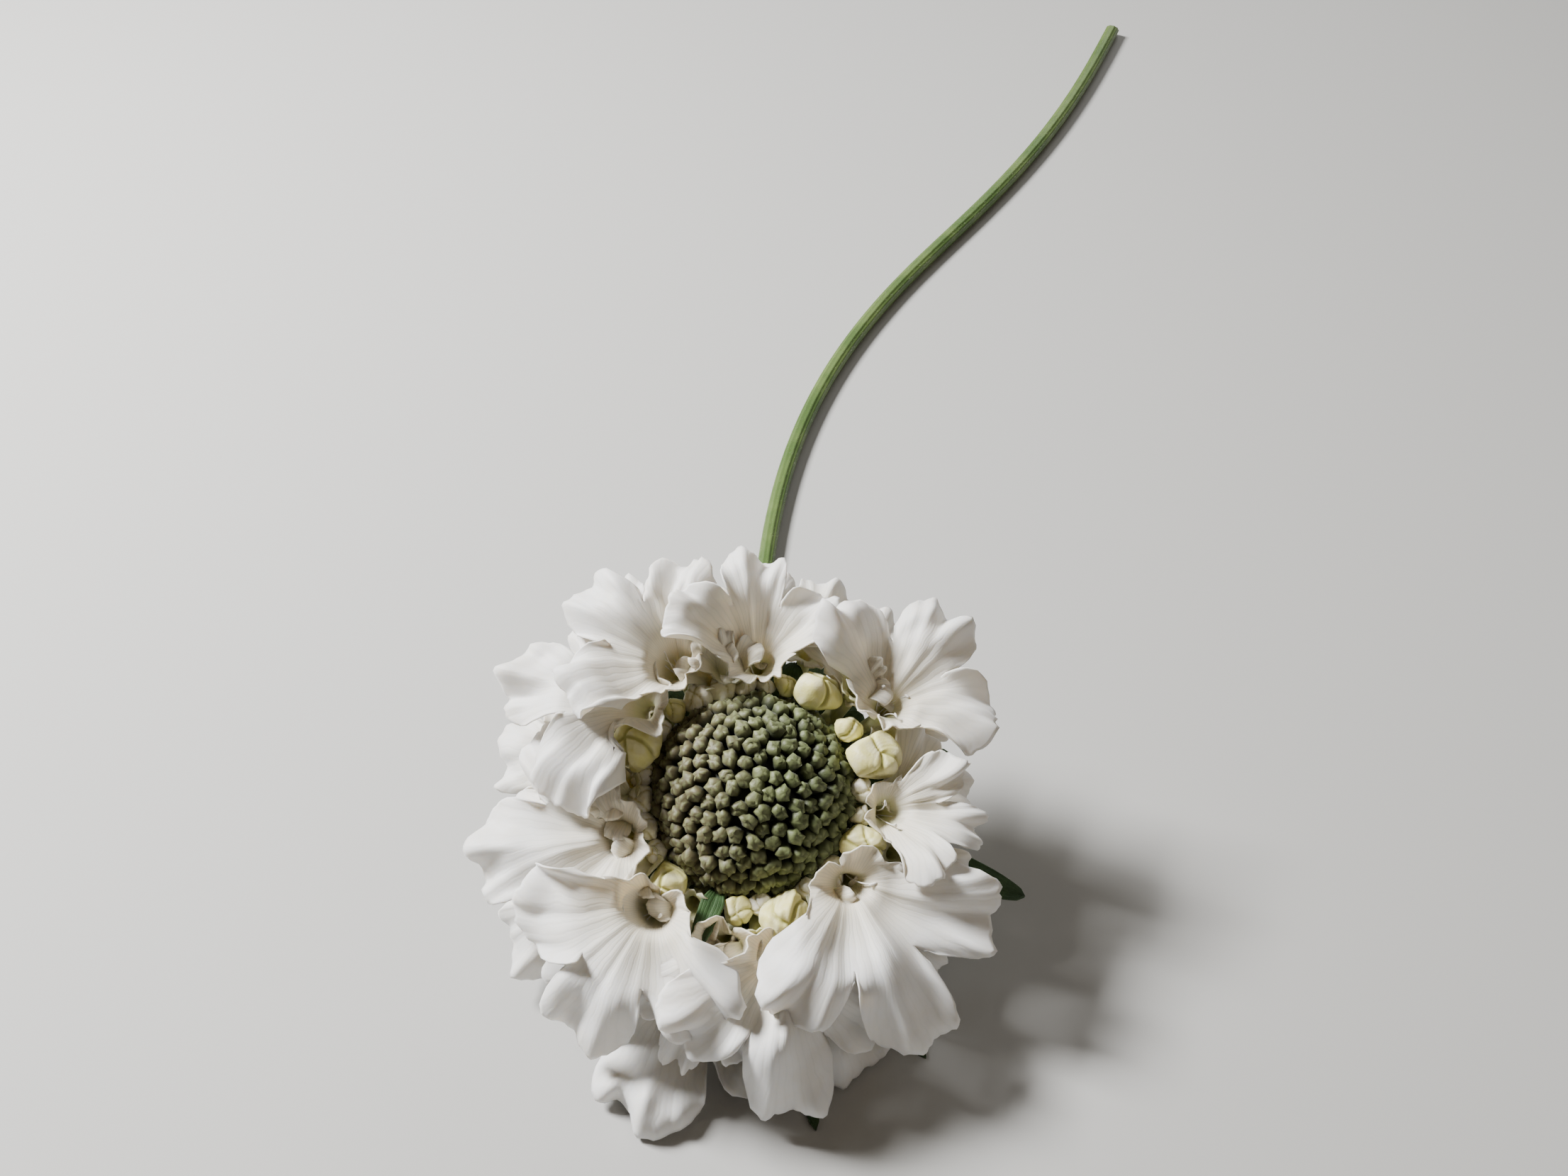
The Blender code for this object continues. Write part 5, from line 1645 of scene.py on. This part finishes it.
# %% Tube tree
stem_tree, given, result = growing_tree("ribbed_stem", [
    ("Sides", "NodeSocketInt", 60),
    ("Ribs", "NodeSocketFloat", 10.0),
    ("Rib Depth", "NodeSocketFloat", 0.035),
    ("Slant", "NodeSocketFloat", math.tan(math.radians(38))),
    ("Hair Density", "NodeSocketFloat", 800000.0),
    ("Hair Length", "NodeSocketFloat", 0.8 * MM),
    ("Hair Radius", "NodeSocketFloat", 0.022 * MM),
    ("Seed", "NodeSocketInt", 5),
    ("Skin", "NodeSocketMaterial", None),
    ("Flesh", "NodeSocketMaterial", None),
    ("Hair", "NodeSocketMaterial", None),
])
tree = stem_tree
position = node(tree, "GeometryNodeInputPosition").outputs[0]
curve = node(tree, "GeometryNodeMeshToCurve", {0: given.outputs["Geometry"]}).outputs[0]
centre = node(tree, "GeometryNodeCaptureAttribute", {"Geometry": curve}, domain="POINT")
captured = {
    "Centre": ("VECTOR", position),
    "Along": ("VECTOR", node(tree, "GeometryNodeInputTangent").outputs[0]),
    "Factor": ("FLOAT", node(tree, "GeometryNodeSplineParameter").outputs["Factor"]),
}
for label, (kind, _) in captured.items():
    centre.capture_items.new(kind, label)
for label, (_, source) in captured.items():
    tree.links.new(source, centre.inputs[label])
thickness = attribute(tree, "thick", "FLOAT")
sized = node(tree, "GeometryNodeSetCurveRadius", {"Curve": centre.outputs[0], "Radius": thickness}).outputs[0]
print("the line takes", len(tree.nodes), "nodes")

# %% Ribbed tube with a slanted cut
ring = node(tree, "GeometryNodeCurvePrimitiveCircle", {"Resolution": given.outputs["Sides"], "Radius": 1.0})
parts = axes(tree, position)
rib = maths(tree, "MULTIPLY", maths(tree, "ARCTAN2", parts["Y"], parts["X"]), given.outputs["Ribs"])
groove = maths(tree, "SUBTRACT", 1.0, given.outputs["Rib Depth"])
swell = maths(tree, "MULTIPLY_ADD", maths(tree, "COSINE", rib), given.outputs["Rib Depth"], groove)
pushed = {"Geometry": ring.outputs[0], "Position": scaled(tree, position, swell)}
ribbed = node(tree, "GeometryNodeSetPosition", pushed).outputs[0]
along_it = {"Curve": sized, "Profile Curve": ribbed, "Scale": thickness, "Fill Caps": True}
swept = node(tree, "GeometryNodeCurveToMesh", along_it).outputs[0]
from_centre = between_ends(tree, centre.outputs["Centre"], position)
slide = maths(tree, "MULTIPLY", axes(tree, from_centre)["Z"], given.outputs["Slant"])
offset = scaled(tree, centre.outputs["Along"], maths(tree, "MULTIPLY", slide, -1.0))
at_end = maths(tree, "GREATER_THAN", centre.outputs["Factor"], 0.9999)
slanted = {"Geometry": swept, "Selection": at_end, "Offset": offset}
cut = node(tree, "GeometryNodeSetPosition", slanted).outputs[0]
corner_count = node(tree, "GeometryNodeInputMeshFaceNeighbors").outputs["Vertex Count"]
ends = maths(tree, "GREATER_THAN", corner_count, 4.5)
skinned = dressed(tree, cut, given.outputs["Skin"])
tube = dressed(tree, skinned, given.outputs["Flesh"], Selection=ends)
print("the tube takes", len(tree.nodes), "nodes")

# %% [markdown]
# ## The stem's hairs
#
# Short soft hairs stand all over the stem. They could be Blender's own hair, but the export keeps only
# meshes, so each hair is a thin cone with three sides, scattered over the tube, leaning and shortened at
# random.

# %% Hairs
seed = given.outputs["Seed"]
over_the_tube = {"Mesh": cut, "Density": given.outputs["Hair Density"], "Seed": seed}
scatter = node(tree, "GeometryNodeDistributePointsOnFaces", over_the_tube)
cone = {
    "Vertices": 3,
    "Radius Top": 0.0,
    "Radius Bottom": given.outputs["Hair Radius"],
    "Depth": given.outputs["Hair Length"],
}
hair = node(tree, "GeometryNodeMeshCone", cone, fill_type="NGON").outputs[0]
hair_lean = tilted(tree, scatter.outputs["Rotation"], 0.5, seed)
hairs = set_on_points(tree, scatter.outputs["Points"], hair, hair_lean, random_value(tree, 0.4, 1.0, seed))
both = together(tree, tube, dressed(tree, hairs, given.outputs["Hair"]))
tree.links.new(both, result.inputs[0])
print("stem tree has", len(tree.nodes), "nodes")

# %% [markdown]
# ## The stem
#
# The stem's skin is a fresh green in soft patches with a satin gloss, the cut face is paler and wet, and
# the hairs are pale. Where a hair on the underside reaches below the table it is pressed flat on it.

# %% Stem
stem_skin, tree, shader = start_material("stem_skin")
spots = effect(tree, mottle, Patch_Size=9.0, Cell_Size=0.4)
patches = ranged(tree, spots.outputs["Patches"], 0.35, 0.68)
fresh_green = mix_colour(tree, patches, (0.055, 0.108, 0.018), (0.100, 0.158, 0.036))
tree.links.new(fresh_green, shader.inputs["Base Color"])
tree.links.new(ranged(tree, spots.outputs["Cells"], 0.3, 0.7, 0.40, 0.58), shader.inputs["Roughness"])
bump(tree, shader, spots.outputs["Cells"], 0.4, 0.12 * MM)
FLESH_DEEP, FLESH_PALE = (0.30, 0.38, 0.14), (0.52, 0.55, 0.30)
HAIR_DEEP, HAIR_PALE = (0.36, 0.42, 0.24), (0.55, 0.58, 0.42)
cut_flesh = two_tone_material("cut_flesh", 0.9, 0.12, FLESH_DEEP, FLESH_PALE, 0.35, bump_strength=0.6)
hair_pale = two_tone_material("hair_pale", 2.0, 0.2, HAIR_DEEP, HAIR_PALE, 0.5)
stem = grown("stem", stem_line, stem_tree, Seed=5, Skin=stem_skin, Flesh=cut_flesh, Hair=hair_pale)
lowest = min(v.co.z for v in stem.vertices)
for v in stem.vertices:
    v.co.z = max(v.co.z, 0.0)
put("stem_with_hairs", stem, None, "stem")
print("lowest hair was at", round(lowest / MM, 2), "mm")
